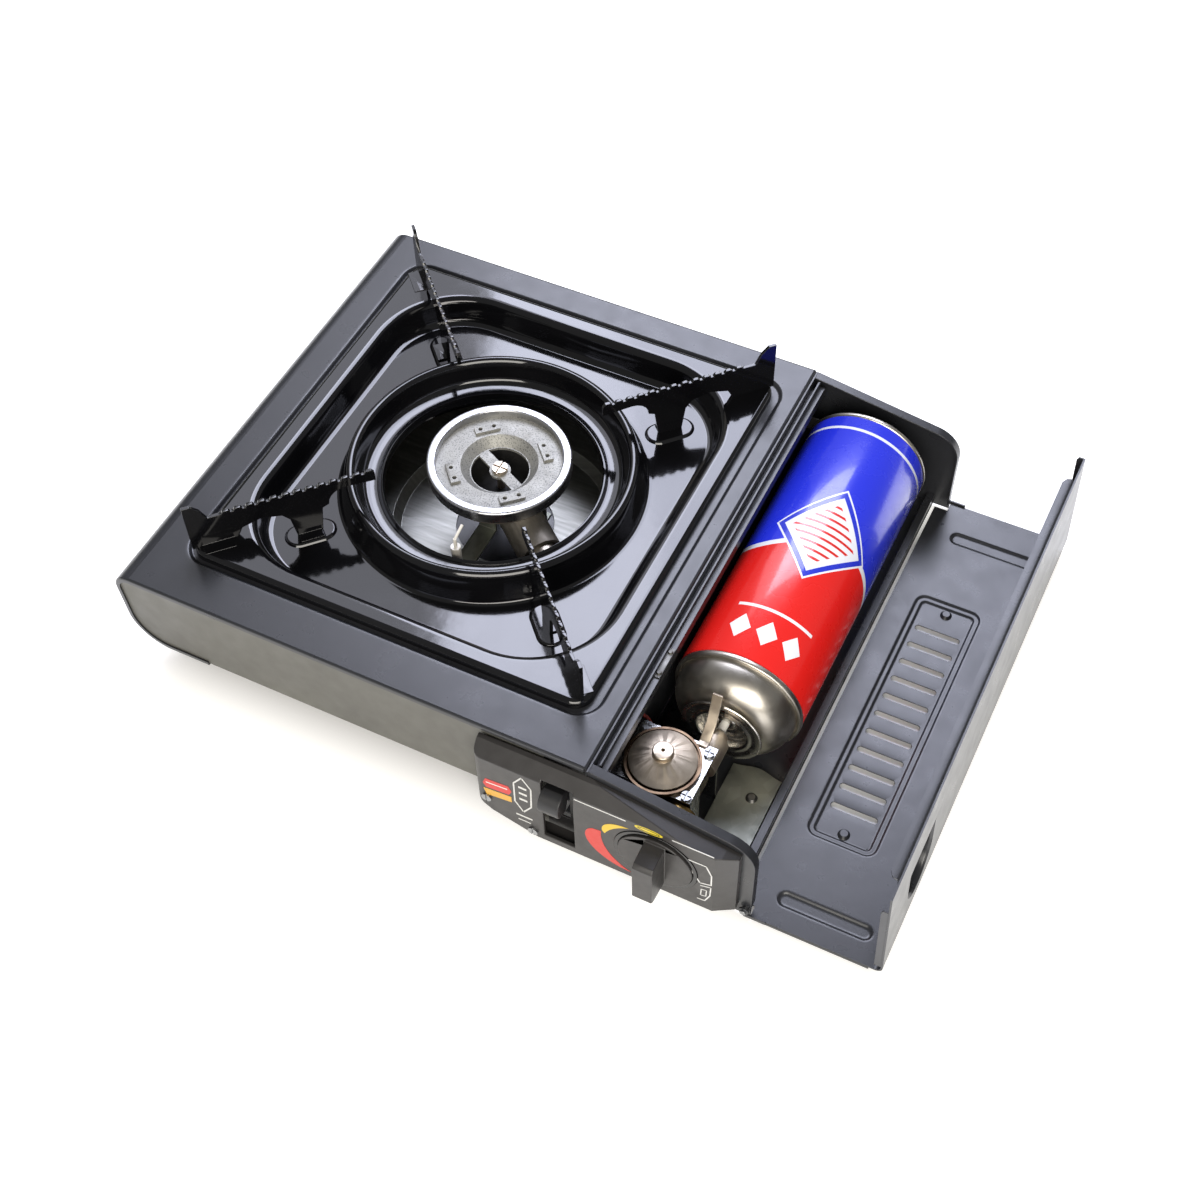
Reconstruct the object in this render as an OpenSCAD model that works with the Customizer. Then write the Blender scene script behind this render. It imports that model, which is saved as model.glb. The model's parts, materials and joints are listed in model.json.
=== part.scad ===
// Single-burner butane cassette stove with its lid open and a cartridge in the bay.
// Working frame: X from the left wall, Y from the front wall, Z up from the table.
// placed() moves the finished pieces so that the origin is under the middle of the stove.

/* [Case] */
// Width from the left wall to the right edge of the cartridge bay's end walls
case_w = 344; // [340:1:346]
// Depth of the case, front to back
case_d = 275; // [272:1:280]
// Height of the top deck above the table
deck_z = 72; // [72:0.5:74]
// Width of the top deck, up to the bay's partition
deck_w = 260; // [259:1:261]
// Height of the burner side's underside above the table
belly_z = 21; // [18:1:24]
// Thickness of the folded steel sheet
skin = 1; // [0.8:0.1:1.2]
// Outer radius of the top left corner
corner_r = 10; // [8:1:12]
// Outer radius of the bottom left corner
belly_r = 22; // [18:1:24]
// Lean of the left wall from vertical, in degrees
wall_lean = 5; // [2:1:6]
// Fall of the cartridge bay's rim towards the right, in degrees
rim_fall = 9; // [8:0.5:10]
// Radius of the cartridge bay's right shoulder
shoulder_r = 16; // [12:1:18]

/* [Drip pan] */
// Width of the enamelled drip pan
pan_w = 217; // [212:1:219]
// Depth of the enamelled drip pan
pan_d = 226; // [220:1:228]
// Place of the pan's centre across the case
pan_x = 136.5; // [135:0.5:138]
// Place of the pan's centre from the front
pan_y = 141; // [139:0.5:143]
// Width of the flat rim round the pan's well
pan_rim = 10; // [8:1:12]
// Depth of the well below the rim
well_depth = 14; // [12:1:14]
// Radius of the crest round the burner
crest_r = 72; // [70:1:74]
// Rise of the crest above the pan's rim
crest_rise = 3; // [2:0.5:4]
// Radius of the hole round the burner
pan_hole_r = 57; // [55:1:59]

/* [Pot supports] */
// Thickness of a pot support
arm_t = 1.8; // [1.5:0.1:2.2]
// Height of the pot supports' edge above the pan's rim
arm_rise = 21; // [19:1:23]
// Height of the horn at the outer end above that edge
horn_rise = 9; // [6:1:10]
// Pitch of the grip teeth
tooth_pitch = 6; // [5:1:8]
// Depth of the grip teeth
tooth_depth = 1.4; // [1:0.1:2]

/* [Burner] */
// Place of the burner's centre across the case
burner_x = 139; // [136.5:0.5:140]
// Place of the burner's centre from the front
burner_y = 144; // [141:0.5:145]
// Radius of the burner's bright outer ring
burner_r = 37.3; // [36:0.1:38.5]
// Height of the burner's top above the deck
burner_rise = 5; // [4:0.5:6]
// Outer radius of the mixing tube
tube_r = 9; // [8:0.5:9.5]

/* [Gas cartridge] */
// Radius of the cartridge's body
can_r = 33.2; // [33:0.1:33.3]
// Length of the body between its two seams
can_len = 167; // [165:0.5:168]
// Place of the cartridge's axis across the case
can_x = 298; // [297.5:0.5:298.5]
// Height of the cartridge's axis above the table
can_z = 36; // [35.8:0.1:36.1]
// Place of the front seam from the case's front
can_seam_y = 89; // [88.5:0.5:90]

/* [Lid] */
// Width of the lid's side from the hinge to the outside of the leaf
lid_run = 68.5; // [67.5:0.5:69]
// Height of the lid's leaf above the table when it stands open
leaf_top = 71.5; // [68:0.5:72]
// Lean of that leaf towards the cartridge, in degrees
lid_lean = 2.5; // [1:0.5:3]
// Slots in the lid's recessed panel
lid_slots = 11; // [7:2:13]

/* [Controls] */
// Radius of the black ring round the knob
ring_r = 20; // [18:0.5:21]
// Length of the knob's grip
grip_len = 32; // [28:1:34]
// Width of the knob's grip
grip_w = 10; // [8:1:11]
// How far the grip stands out of the panel
grip_out = 15; // [12:1:16]
// Angle of the lock lever above level, in degrees
lever_up = 20; // [18:1:21]
// Travel of the cartridge pusher
push_travel = 6; // [5:0.5:6]

/* [Hidden] */
$fn = 64;

// clearances
gap = 0.3;                                  // between pieces that move apart
run_gap = 0.05;                             // between a shaft and its bore
cut = 1;                                    // how far a cutter passes its surface

// case
belly_cx = corner_r + (belly_r - corner_r) * cos(wall_lean)
    + (deck_z - belly_z - corner_r - belly_r) * tan(wall_lean);
belly_cz = belly_z + belly_r;
wrap_x = 46;                                // where the top case's wrap ends underneath
bay_x = deck_w + skin;                      // left side of the cartridge bay
bay_z = 1.2;                                // underside of the bay's floor
rim_z = deck_z - skin - 0.2;                // bay rim at the partition
rim_flange = 5;                             // width of the bay rim's turned edge
lip_w = 3;                                  // width of the case's turned front edge
tab_x = 228;                                // where the front panel steps down
shoulder_cx = case_w - shoulder_r;
shoulder_x = shoulder_cx + shoulder_r * sin(rim_fall);
shoulder_cz = rim_z - (shoulder_x - bay_x) * tan(rim_fall) - shoulder_r * cos(rim_fall);
wall_foot = 8;                              // where the end walls' turned edge stops
sill_x = 335;                               // right side of the bay's low sill
sill_z = 9;                                 // top of that sill
sill_w = 4.2;
ledge_z = 67;                               // top of the partition's ledge
guide_z = 4;                                // underside of the guide plate

// pan
seat_drop = 2;                              // depth of the pan's seat in the deck
seat_margin = 5;                            // seat wider than the pan on each side
seat_shift = 1;                             // seat's centre towards the bay from the pan's
pan_top = deck_z + 2;
pan_r = 9;
well_r = 46;
well_w = pan_w - 2 * pan_rim;
well_d = pan_d - 2 * pan_rim;
well_slope = 4;                             // how far the well's wall leans in
floor_top = pan_top - well_depth;
crest_top = pan_top + crest_rise;
crest_bead = 2.5;                           // radius of the crest's bead
arm_angle = atan2(pan_d, pan_w);
arm_outer = 155;                            // reach of a pot support from the centre
arm_inner = 60;
boss_r = 97;                                // place of the inner feet
boss_top = floor_top + 2;

// burner
burner_top = deck_z + burner_rise;
ring_in = 32.6;                             // inner radius of the burner's ring
head_z = 71.2;                              // underside of the burner head's rim
hub_z = 66.2;                               // underside of its sunk hub
throat_x = 226;                             // mouth of the mixing tube
throat_y = 80;
throat_z = 39;
neck_r = 16;                                // where the tube leaves the burner's bowl
neck_z = 54;
tube_turn = atan2(throat_y - burner_y, throat_x - burner_x);
tube_run = norm([throat_x - burner_x, throat_y - burner_y]);
tube_fall = atan2(neck_z - throat_z, tube_run - neck_r);
tube_len = norm([tube_run - neck_r, neck_z - throat_z]);

// gas train
gov_x = 283;
gov_y = 33;
gov_z = 46;                                 // top of the governor's bracket
gov_r = 18.5;
dial_x = 299;                               // knob's axis
dial_z = 34.5;
pipe_r = 2.5;
stem_r = 2.2;
collar_y = 66.5;                            // front of the cartridge's collar
collar_r = 21;
cup_y = 73.1;                               // floor of its valve cup
stem_y = 66.6;                              // tip of the cartridge's stem

// controls
panel_x0 = 205;
panel_x1 = 337.5;
panel_y = -9;                               // front face of the control panel
panel_wall = 2;
slot_x0 = 241;                              // lever's slot in the panel
slot_x1 = 257;
slot_z0 = 13;
slot_z1 = 61;
lever_x = 244;
lever_t = 5;
lever_y = 30;                               // lever's pivot
lever_z = 36;
lever_reach = 42;
pivot_r = 2;
slide_x = 252;
crank_r = push_travel / (2 * sin(lever_up));

// lid, with its hinge's axis
hinge_x = case_w - 3;
hinge_z = 6.8;
hinge_r = 1.5;
side_x = case_w + gap;                      // where the lid starts at its two ends
lid_under = hinge_z - (side_x - hinge_x) - skin;
lid_tuck = hinge_x - 4;                     // where it starts between the end walls
lid_over = 1.2;                             // how far the lid passes the case's ends
lid_bend = 4;                               // outer radius of the fold
fold_x = hinge_x + lid_run;                 // outside of the leaf at the fold
leaf_len = (leaf_top - lid_under - lid_bend) / cos(lid_lean);
leaf_flange = 5;                            // width of the turned edge along the leaf's top
flange_y0 = 9;
flange_y1 = 259;
end_flange = 3.5;                           // width of the turned edges at the leaf's ends
pocket_y = 44;                              // middle of the finger pocket
pocket_w = 34;
pocket_deep = 5;
slot_panel_w = 36;
slot_panel_l = 160;
slot_panel_x = hinge_x + 26.5;
slot_panel_y = 131;
emboss = 1.4;                               // depth of the lid's recessed panel

// whole object, for the origin
reach_x = fold_x;
reach_y0 = panel_y - grip_out;
reach_y1 = case_d + lid_over + 2;

// ---------- helpers ----------

module placed() {
    translate([-reach_x / 2, -(reach_y0 + reach_y1) / 2, 0]) children();
}

function arc_pts(cx, cy, r, a0, a1, steps = 8) =
    [for (i = [0:steps]) let (a = a0 + (a1 - a0) * i / steps) [cx + r * cos(a), cy + r * sin(a)]];

function reversed(path) = [for (i = [len(path) - 1:-1:0]) path[i]];

// a profile drawn in X and Z, run from front to back
module along_y(y0, y1) {
    translate([0, y1, 0]) rotate([90, 0, 0]) linear_extrude(y1 - y0) children();
}

// a profile drawn in Y and Z, run from left to right
module along_x(x0, x1) {
    translate([x0, 0, 0]) rotate([90, 0, 90]) linear_extrude(x1 - x0) children();
}

module box(from, to) {
    translate(from) cube(to - from);
}

module strip(outer, inner) {
    polygon(concat(outer, reversed(inner)));
}

module rounded_rect(w, d, r) {
    square([w - 2 * r, d], center = true);
    square([w, d - 2 * r], center = true);
    for (sx = [-1, 1], sy = [-1, 1]) translate([sx * (w / 2 - r), sy * (d / 2 - r)]) circle(r);
}

// a flat slot with round ends, along X
module slot_2d(length, width) {
    square([length - width, width], center = true);
    for (s = [-1, 1]) translate([s * (length - width) / 2, 0]) circle(width / 2);
}

module rod(from, to, r) {
    run = to - from;
    translate(from)
        rotate([0, acos(run[2] / norm(run)), atan2(run[1], run[0])])
            cylinder(h = norm(run), r = r);
}

function unit(v) = v / norm(v);

// a rounded route through hand-placed points, with `steps` pieces in each span
function rounded_route(p, steps) = let (n = len(p) - 1) concat(
    [for (i = [0:n - 1], k = [0:steps - 1])
        let (t = k / steps, a = p[max(i - 1, 0)], b = p[i], c = p[i + 1], d = p[min(i + 2, n)])
        b + (c - a) * t / 2 + (2 * a - 5 * b + 4 * c - d) * t * t / 2
            + (3 * b - a - 3 * c + d) * t * t * t / 2],
    [p[n]]
);

// a lead or pipe swept along a route; `side` is a direction that no stretch of it follows
module swept_lead(route, r, side, sides = 8) {
    n = len(route) - 1;
    rings = [for (i = [0:n])
        let (t = unit(route[min(i + 1, n)] - route[max(i - 1, 0)]), u = unit(cross(t, side)), v = cross(t, u))
        for (k = [0:sides - 1]) route[i] + r * (cos(360 * k / sides) * u + sin(360 * k / sides) * v)];
    walls = [for (i = [0:n - 1], k = [0:sides - 1])
        let (a = i * sides, m = (k + 1) % sides) [a + k, a + m, a + sides + m, a + sides + k]];
    polyhedron(rings, concat(
        walls,
        [[for (k = [sides - 1:-1:0]) k], [for (k = [0:sides - 1]) n * sides + k]]
    ));
}

// lathe work about an axis that runs from front to back
module turned_y(x, z) {
    translate([x, 0, z]) rotate([-90, 0, 0]) rotate_extrude() children();
}

// ---------- case ----------

function case_outline(inset) = concat(
    [[deck_w, deck_z - inset]],
    arc_pts(corner_r, deck_z - corner_r, corner_r - inset, 90, 180 + wall_lean),
    arc_pts(belly_cx, belly_cz, belly_r - inset, 180 + wall_lean, 270),
    [[wrap_x, belly_z + inset]]
);

function panel_outline() = concat(
    [[deck_w - skin, deck_z - skin]],
    arc_pts(corner_r, deck_z - corner_r, corner_r - skin, 90, 180 + wall_lean),
    arc_pts(belly_cx, belly_cz, belly_r - skin, 180 + wall_lean, 270),
    [[tab_x, belly_z + skin], [tab_x, 3], [deck_w - skin, 3]]
);

module seat_outline(inset) {
    translate([seat_shift, 0]) rounded_rect(
        pan_w + 2 * (seat_margin + seat_shift - inset),
        pan_d + 2 * (seat_margin - inset),
        14 - inset
    );
}

module top_case() {
    color("#3d3e43") placed() difference() {
        union() {
            along_y(0, case_d) strip(case_outline(0), case_outline(skin));
            for (y = [0, case_d - skin]) along_y(y, y + skin) strip(case_outline(0), case_outline(lip_w));
            box([deck_w - skin, 0, deck_z - 10], [deck_w, case_d, deck_z]);
            translate([pan_x, pan_y, deck_z - seat_drop - skin])
                linear_extrude(seat_drop + skin) seat_outline(0);
        }
        translate([pan_x, pan_y, deck_z - seat_drop]) linear_extrude(seat_drop + cut) seat_outline(skin);
        translate([pan_x, pan_y, deck_z - 2 * seat_drop - skin])
            linear_extrude(3 * seat_drop) rounded_rect(well_w + 8, well_d + 8, well_r);
    }
}

module front_panel() {
    color("#45423f") placed() difference() {
        along_y(skin, 2 * skin) polygon(panel_outline());
        box([lever_x - 1, 0, 19], [lever_x + lever_t + 1, 3 * skin, 53]);
    }
}

module rear_panel() {
    color("#45423f") placed() difference() {
        along_y(case_d - 2 * skin, case_d - skin) polygon(panel_outline());
        for (i = [0:8], row = [0, 1])
            translate([50 + 20 * i, case_d - 3 * skin, 38 + 16 * row])
                rotate([-90, 0, 0]) linear_extrude(4 * skin) slot_2d(14, 4);
    }
}

module base_plate() {
    plate_z = belly_z + skin;
    color("#3d3e43") placed() difference() {
        box([belly_cx, 2 * skin, plate_z], [deck_w, case_d - 2 * skin, plate_z + skin]);
        for (i = [0:4], side = [-1, 1])
            translate([pan_x + 62 * side, pan_y - 52 + 26 * i, plate_z - cut])
                linear_extrude(skin + 2 * cut) slot_2d(34, 6);
        box([lever_x - 1, cut, plate_z - cut], [lever_x + 3, 8, plate_z + skin + cut]);
    }
}

module partition_wall() {
    color("#34353a") placed() difference() {
        union() {
            box([deck_w, 0, 3], [bay_x, case_d, deck_z - 1.5]);
            along_y(6, case_d - 6) polygon([
                [bay_x, ledge_z - 3], [bay_x + 3.6, ledge_z - 3], [bay_x + 3.6, ledge_z - skin],
                [bay_x + 5.6, ledge_z - skin], [bay_x + 5.6, ledge_z - 6], [bay_x + 6.6, ledge_z - 6],
                [bay_x + 6.6, ledge_z], [bay_x + 3.6, ledge_z], [bay_x + 3.6, ledge_z + 3],
                [bay_x + 2.6, ledge_z + 3], [bay_x + 2.6, ledge_z - 2], [bay_x, ledge_z - 2]
            ]);
        }
        along_x(deck_w - cut, bay_x + cut) translate([256, 48]) square([16, 14], center = true);
        rod([deck_w - cut, 44, 28], [bay_x + cut, 44, 28], pipe_r + 1);
        rod([deck_w - cut, 58, 37], [bay_x + cut, 58, 37], 3);
        for (y = [70, 160]) rod([deck_w - cut, y, 46], [bay_x + cut, y, 46], 2);
    }
}

function bay_outline(inset) = concat(
    [[bay_x, rim_z - inset]],
    arc_pts(shoulder_cx, shoulder_cz, shoulder_r - inset, 90 - rim_fall, 0),
    [[case_w - inset, wall_foot]]
);

module bay_wall(y0, flange_y0, flange_y1) {
    along_y(y0, y0 + skin)
        polygon(concat(bay_outline(0), [[case_w, bay_z], [bay_x, bay_z]]));
    along_y(flange_y0, flange_y1) strip(bay_outline(0), bay_outline(skin));
}

module bay_front_wall() {
    color("#34353a") placed() difference() {
        bay_wall(0, skin, rim_flange);
        rod([dial_x, -cut, dial_z], [dial_x, 2 * skin, dial_z], 6);
    }
}

module bay_rear_wall() {
    color("#34353a") placed() bay_wall(case_d - skin, case_d - rim_flange, case_d - skin);
}

module bay_floor() {
    color("#34353a") placed() {
        box([bay_x, skin, bay_z], [sill_x, case_d - skin, bay_z + skin]);
        box([bay_x, skin, bay_z + skin], [bay_x + skin, case_d - skin, 12]);
        along_y(skin, case_d - skin) polygon([
            [sill_x - sill_w, bay_z + skin], [sill_x - sill_w + skin, bay_z + skin],
            [sill_x - sill_w + skin, sill_z - skin], [sill_x - skin, sill_z - skin], [sill_x - skin, 5],
            [sill_x, 5], [sill_x, sill_z], [sill_x - sill_w, sill_z]
        ]);
    }
}

// two bent strips that hold the cartridge off the floor
module can_cradles() {
    hug = can_r + gap;
    color("#8f9190") placed()
        for (y = [112, 232]) along_y(y, y + 12) difference() {
            translate([can_x - 26, bay_z + skin]) square([52, 9]);
            translate([can_x, can_z]) circle(hug);
        }
}

// plate under the cartridge's front end, with a gently curved rear edge
module guide_plate() {
    x0 = gov_x + 21;
    x1 = sill_x - sill_w - 1;
    color("#83857f") placed() {
        translate([0, 0, guide_z]) linear_extrude(skin) polygon(concat(
            [[x1, 4], [x0, 4]],
            [for (i = [0:24]) [x0 + (x1 - x0) * i / 24, 72.5 - 1.2 * cos(360 * i / 24)]]
        ));
        box([x0, 4, bay_z + skin], [x0 + skin, 60, guide_z]);
        box([x1 - skin, 8, bay_z + skin], [x1, 60, guide_z]);
    }
}

module left_foot(y) {
    color("#26272a") placed() translate([62, y, 0]) {
        cylinder(h = 3, r = 10);
        translate([0, 0, 3]) cylinder(h = belly_z + skin - 3, r1 = 10, r2 = 12);
    }
}

module foot_front_left() left_foot(46);

module foot_rear_left() left_foot(230);

module bay_pads() {
    color("#26272a") placed()
        for (x = [bay_x + 12, sill_x - 9], y = [24, 250]) translate([x, y, 0]) cylinder(h = bay_z, r = 7);
}

// rivet on the guide plate, and the riveted clip on the partition's ledge
module case_rivets() {
    color("#a9aaa8") placed() {
        translate([320, 56.5, guide_z + skin]) cylinder(h = 1.2, r1 = 3, r2 = 1.8);
        box([bay_x + 3.6, 62, ledge_z], [bay_x + 6.4, 80, ledge_z + 0.8]);
        for (y = [64.5, 77.5]) translate([bay_x + 5, y, ledge_z + 0.8]) cylinder(h = 1, r1 = 1.4, r2 = 0.9);
    }
}

// ---------- burner ----------

module at_burner(z = 0) {
    translate([burner_x, burner_y, z]) children();
}

module reflector_plate() {
    floor_z = belly_z + 2 * skin;
    color("#c9ccd0") placed() at_burner() rotate_extrude() polygon([
        [26, floor_z], [56, floor_z], [60, floor_z + 5], [84, floor_z + 5],
        [84, floor_z + 6], [59.4, floor_z + 6], [55.4, floor_z + 1], [26, floor_z + 1]
    ]);
}

module burner_bracket() {
    foot_z = belly_z + 2 * skin;
    color("#9a9c9b") placed() at_burner() {
        for (s = [-1, 1]) {
            box([s * 14 - 5, 11, foot_z + 1], [s * 14 + 5, 12.2, 52]);
            box([s * 14 - 5, 11, foot_z], [s * 14 + 5, 17, foot_z + 1]);
        }
        box([-19, 3, 51], [19, 12.2, 52]);
    }
}

// cast bowl with the neck that takes the mixing tube
module burner_body() {
    bowl_low = 52;
    color("#8a857c") placed() at_burner() difference() {
        union() {
            rotate_extrude() polygon([
                [0, bowl_low], [17, bowl_low], [26, 57], [33, 64], [35.5, 70], [32.6, 70], [30.5, 65.2],
                [24.6, 59.8], [16, 55], [0, 55]
            ]);
            rotate([0, 0, tube_turn]) translate([neck_r, 0, neck_z])
                rotate([0, 90 + tube_fall, 0]) cylinder(h = 30, r = tube_r + 2.2);
        }
        rotate([0, 0, tube_turn]) translate([neck_r, 0, neck_z])
            rotate([0, 90 + tube_fall, 0]) translate([0, 0, -cut]) cylinder(h = 40, r = tube_r);
        translate([0, 0, 55]) cylinder(h = 30, r1 = 16, r2 = 34);
    }
}

module burner_ring() {
    color("#d4d5d6") placed() at_burner() rotate_extrude() polygon(concat(
        [[ring_in, 70], [burner_r, 70]],
        arc_pts(burner_r - 1.2, burner_top - 1.2, 1.2, 0, 90, 4),
        arc_pts(ring_in + 0.8, burner_top - 0.8, 0.8, 90, 180, 4)
    ));
}

// dished top plate with four pairs of ports, and two crescent openings in its hub
module burner_head() {
    color("#b9bab8") placed() at_burner() difference() {
        union() {
            rotate_extrude() polygon([
                [0, hub_z], [16.5, hub_z], [21, head_z], [ring_in, head_z],
                [ring_in, head_z + 1.5], [20, head_z + 1.5], [15.5, hub_z + 1.5], [0, hub_z + 1.5]
            ]);
            for (a = [0:90:270]) rotate([0, 0, a + 43]) translate([24.5, 0, head_z + 0.5])
                linear_extrude(2.5) square([5, 13], center = true);
        }
        for (a = [0:90:270], s = [-1, 1])
            rotate([0, 0, a + 43]) translate([24.5, 3.6 * s, head_z - cut]) cylinder(h = 8, r = 1.1);
        for (side = [0, 180]) rotate([0, 0, side - 27]) translate([0, 0, hub_z - cut])
            linear_extrude(4) difference() {
                circle(15);
                circle(5.5);
                translate([-20, -37]) square([40, 40]);
            }
        translate([0, 0, hub_z - cut]) cylinder(h = 6, r = 2);
    }
}

module burner_screw() {
    head_low = hub_z + 1.5;
    color("#6f7072") placed() at_burner() difference() {
        union() {
            translate([0, 0, head_low]) cylinder(h = 2.2, r = 4);
            translate([0, 0, 55]) cylinder(h = head_low - 55, r = 2);
        }
        translate([0, 0, head_low + 2.2]) cube([1, 9, 2], center = true);
        translate([0, 0, head_low + 2.2]) cube([9, 1, 2], center = true);
    }
}

module along_tube(start) {
    at_burner() rotate([0, 0, tube_turn]) translate([neck_r, 0, neck_z])
        rotate([0, 90 + tube_fall, 0]) translate([0, 0, start]) children();
}

module mixing_tube() {
    color("#9b968c") placed() along_tube(8) difference() {
        union() {
            cylinder(h = tube_len - 8, r = tube_r);
            translate([0, 0, tube_len - 14]) cylinder(h = 6, r1 = tube_r, r2 = 11);
        }
        translate([0, 0, -cut]) cylinder(h = tube_len, r = tube_r - 1.2);
        translate([0, 0, tube_len - 14]) cylinder(h = 7, r1 = tube_r - 1.2, r2 = 10);
    }
}

module gas_injector() {
    color("#b08d4a") placed() along_tube(tube_len - 4) difference() {
        union() {
            cylinder(h = 9, r = 4);
            translate([0, 0, 9]) cylinder(h = 5, r = 5, $fn = 6);
        }
        translate([0, 0, -cut]) cylinder(h = 10, r = 0.8);
    }
}

// the injector's back face, where the gas pipe meets it
injector_end = [
    burner_x + cos(tube_turn) * (neck_r + cos(tube_fall) * (tube_len + 10)),
    burner_y + sin(tube_turn) * (neck_r + cos(tube_fall) * (tube_len + 10)),
    neck_z - sin(tube_fall) * (tube_len + 10)
];

module gas_pipe() {
    color("#b9a06a") placed() swept_lead(rounded_route([
        [gov_x - 7, 44, 28], [gov_x - 17, 44, 28], [deck_w - 4, 44, 28], [250, 51, 28.4], [246, 61, 31],
        injector_end + [6, -4.5, -1.6], injector_end
    ], 4), pipe_r, [0, 0, 1], 12);
}

// ---------- ignition ----------

spark_x = burner_x + 2.5;
spark_y = burner_y - 52;
lead_points = [
    [274, 38, 13], [273, 50, 14], [267, 57, 24], [263, 58, 37], [250, 58, 37], [236, 60, 35],
    [149, 86, 32], [spark_x, spark_y, 36], [spark_x, spark_y, 41]
];

module ignition_electrode() {
    color("#e8e4da") placed() {
        translate([spark_x, spark_y, 41]) cylinder(h = 24, r = 2.6);
        translate([spark_x, spark_y, 46]) cylinder(h = 3, r = 3.6);
        translate([spark_x, spark_y, 65]) cylinder(h = 6, r = 0.9);
        rod([spark_x, spark_y, 70.6], [spark_x, spark_y + 8, 73], 0.8);
    }
}

module electrode_bracket() {
    color("#a9aaa8") placed() difference() {
        union() {
            box([spark_x - 5, spark_y - 5, 44.8], [spark_x + 5, burner_y - 20, 46]);
            box([spark_x - 5, burner_y - 21.2, 46], [spark_x + 5, burner_y - 20, 54]);
        }
        translate([spark_x, spark_y, 40]) cylinder(h = 10, r = 2.6);
    }
}

module piezo_igniter() {
    color("#2a2a2c") placed() {
        rod([274, 2, 13], [274, 34, 13], 6);
        rod([274, 34, 13], [274, 38, 13], 3.5);
    }
}

module ignition_lead() {
    color("#8c2f2a") placed()
        swept_lead(rounded_route(lead_points, 4), 1, [1, 1, 0.3]);
}

// ---------- governor and valve ----------

module governor_bracket() {
    left = gov_x - gov_r;
    right = gov_x + gov_r + 2;
    color("#d6d7d8") placed() difference() {
        union() {
            box([left, 18, gov_z - skin], [right, 51, gov_z]);
            box([right - skin, 19, bay_z + skin], [right, 30, gov_z - skin]);
            box([gov_x + 6, 50, bay_z + skin], [right, 51, gov_z - skin]);
        }
        translate([gov_x, gov_y, gov_z - 2]) cylinder(h = 4, r = gov_r - 2.5);
        rod([can_x, 40, can_z], [can_x, 60, can_z], 7);
    }
}

module governor_body() {
    color("#9c9a94") placed() difference() {
        union() {
            translate([gov_x, gov_y, 22]) cylinder(h = gov_z - skin - 22, r = 14);
            box([gov_x, 18, 28], [can_x + 4, 44, 43]);
            translate([gov_x, gov_y, gov_z - skin]) cylinder(h = skin, r = gov_r - 2.5);
            translate([gov_x, gov_y, gov_z]) cylinder(h = 2.4, r = gov_r);
        }
        translate([gov_x, gov_y, gov_z + 1.2]) difference() {
            cylinder(h = 3, r = gov_r - 1.2);
            translate([0, 0, -cut]) cylinder(h = 5, r = gov_r - 4.5);
        }
        rod([gov_x - 20, 44, 28], [gov_x - 7, 44, 28], pipe_r);
    }
}

module governor_cap() {
    base = gov_z + 2.4;
    color("#b3a58c") placed() translate([gov_x, gov_y, base]) difference() {
        rotate_extrude() polygon([
            [0, 0], [16.4, 0], [16.4, 0.8], [5.6, 5.6], [5.2, 5.6], [5.2, 8.2], [4.6, 8.8], [0, 8.8]
        ]);
        translate([0, 0, 5]) cylinder(h = 5, r = 0.8);
    }
}

module governor_screws() {
    color("#7d7e80") placed()
        for (p = [[gov_x - 15.2, 48], [gov_x + 17.6, 46.5], [gov_x + 17.6, 20.6]])
            translate([p[0], p[1], gov_z]) difference() {
                cylinder(h = 1.8, r = 2.6);
                translate([0, 0, 1.8]) cube([0.8, 6, 1.4], center = true);
                translate([0, 0, 1.8]) cube([6, 0.8, 1.4], center = true);
            }
}

// upright finger that the notch in the cartridge's collar fits over
module locating_finger() {
    finger_x = can_x - 2;
    color("#b9a68a") placed() along_x(finger_x - 2.5, finger_x + 2.5) polygon([
        [48.7, gov_z], [51, gov_z], [51, gov_z - 2.4], [52.2, gov_z - 2.4], [52.2, gov_z], [60, 52],
        [62.2, 52], [62.2, 53.2], [60.6, 53.6], [65.8, 67.6], [64.6, 68.2], [58.8, 53],
        [51.5, gov_z + 1.2], [48.7, gov_z + 1.2]
    ]);
}

module gas_inlet() {
    color("#b08d4a") placed() turned_y(can_x, can_z) polygon([
        [stem_r + run_gap, 56], [stem_r + run_gap, 63.2], [stem_r + 1, 64], [5, 64], [5, 60], [7, 60],
        [7, 44], [0, 44], [0, 56]
    ]);
}

module gas_valve() {
    color("#b08d4a") placed() difference() {
        union() {
            rod([dial_x, 4, dial_z], [dial_x, 18, dial_z], 9);
            rod([dial_x, skin, dial_z], [dial_x, 4, dial_z], 5.5);
        }
        rod([dial_x, 0, dial_z], [dial_x, 15, dial_z], 3 + run_gap);
    }
}

module valve_spindle() {
    color("#8b8d8f") placed() rod([dial_x, panel_y - 6, dial_z], [dial_x, 14, dial_z], 3);
}

// ---------- controls ----------

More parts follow.
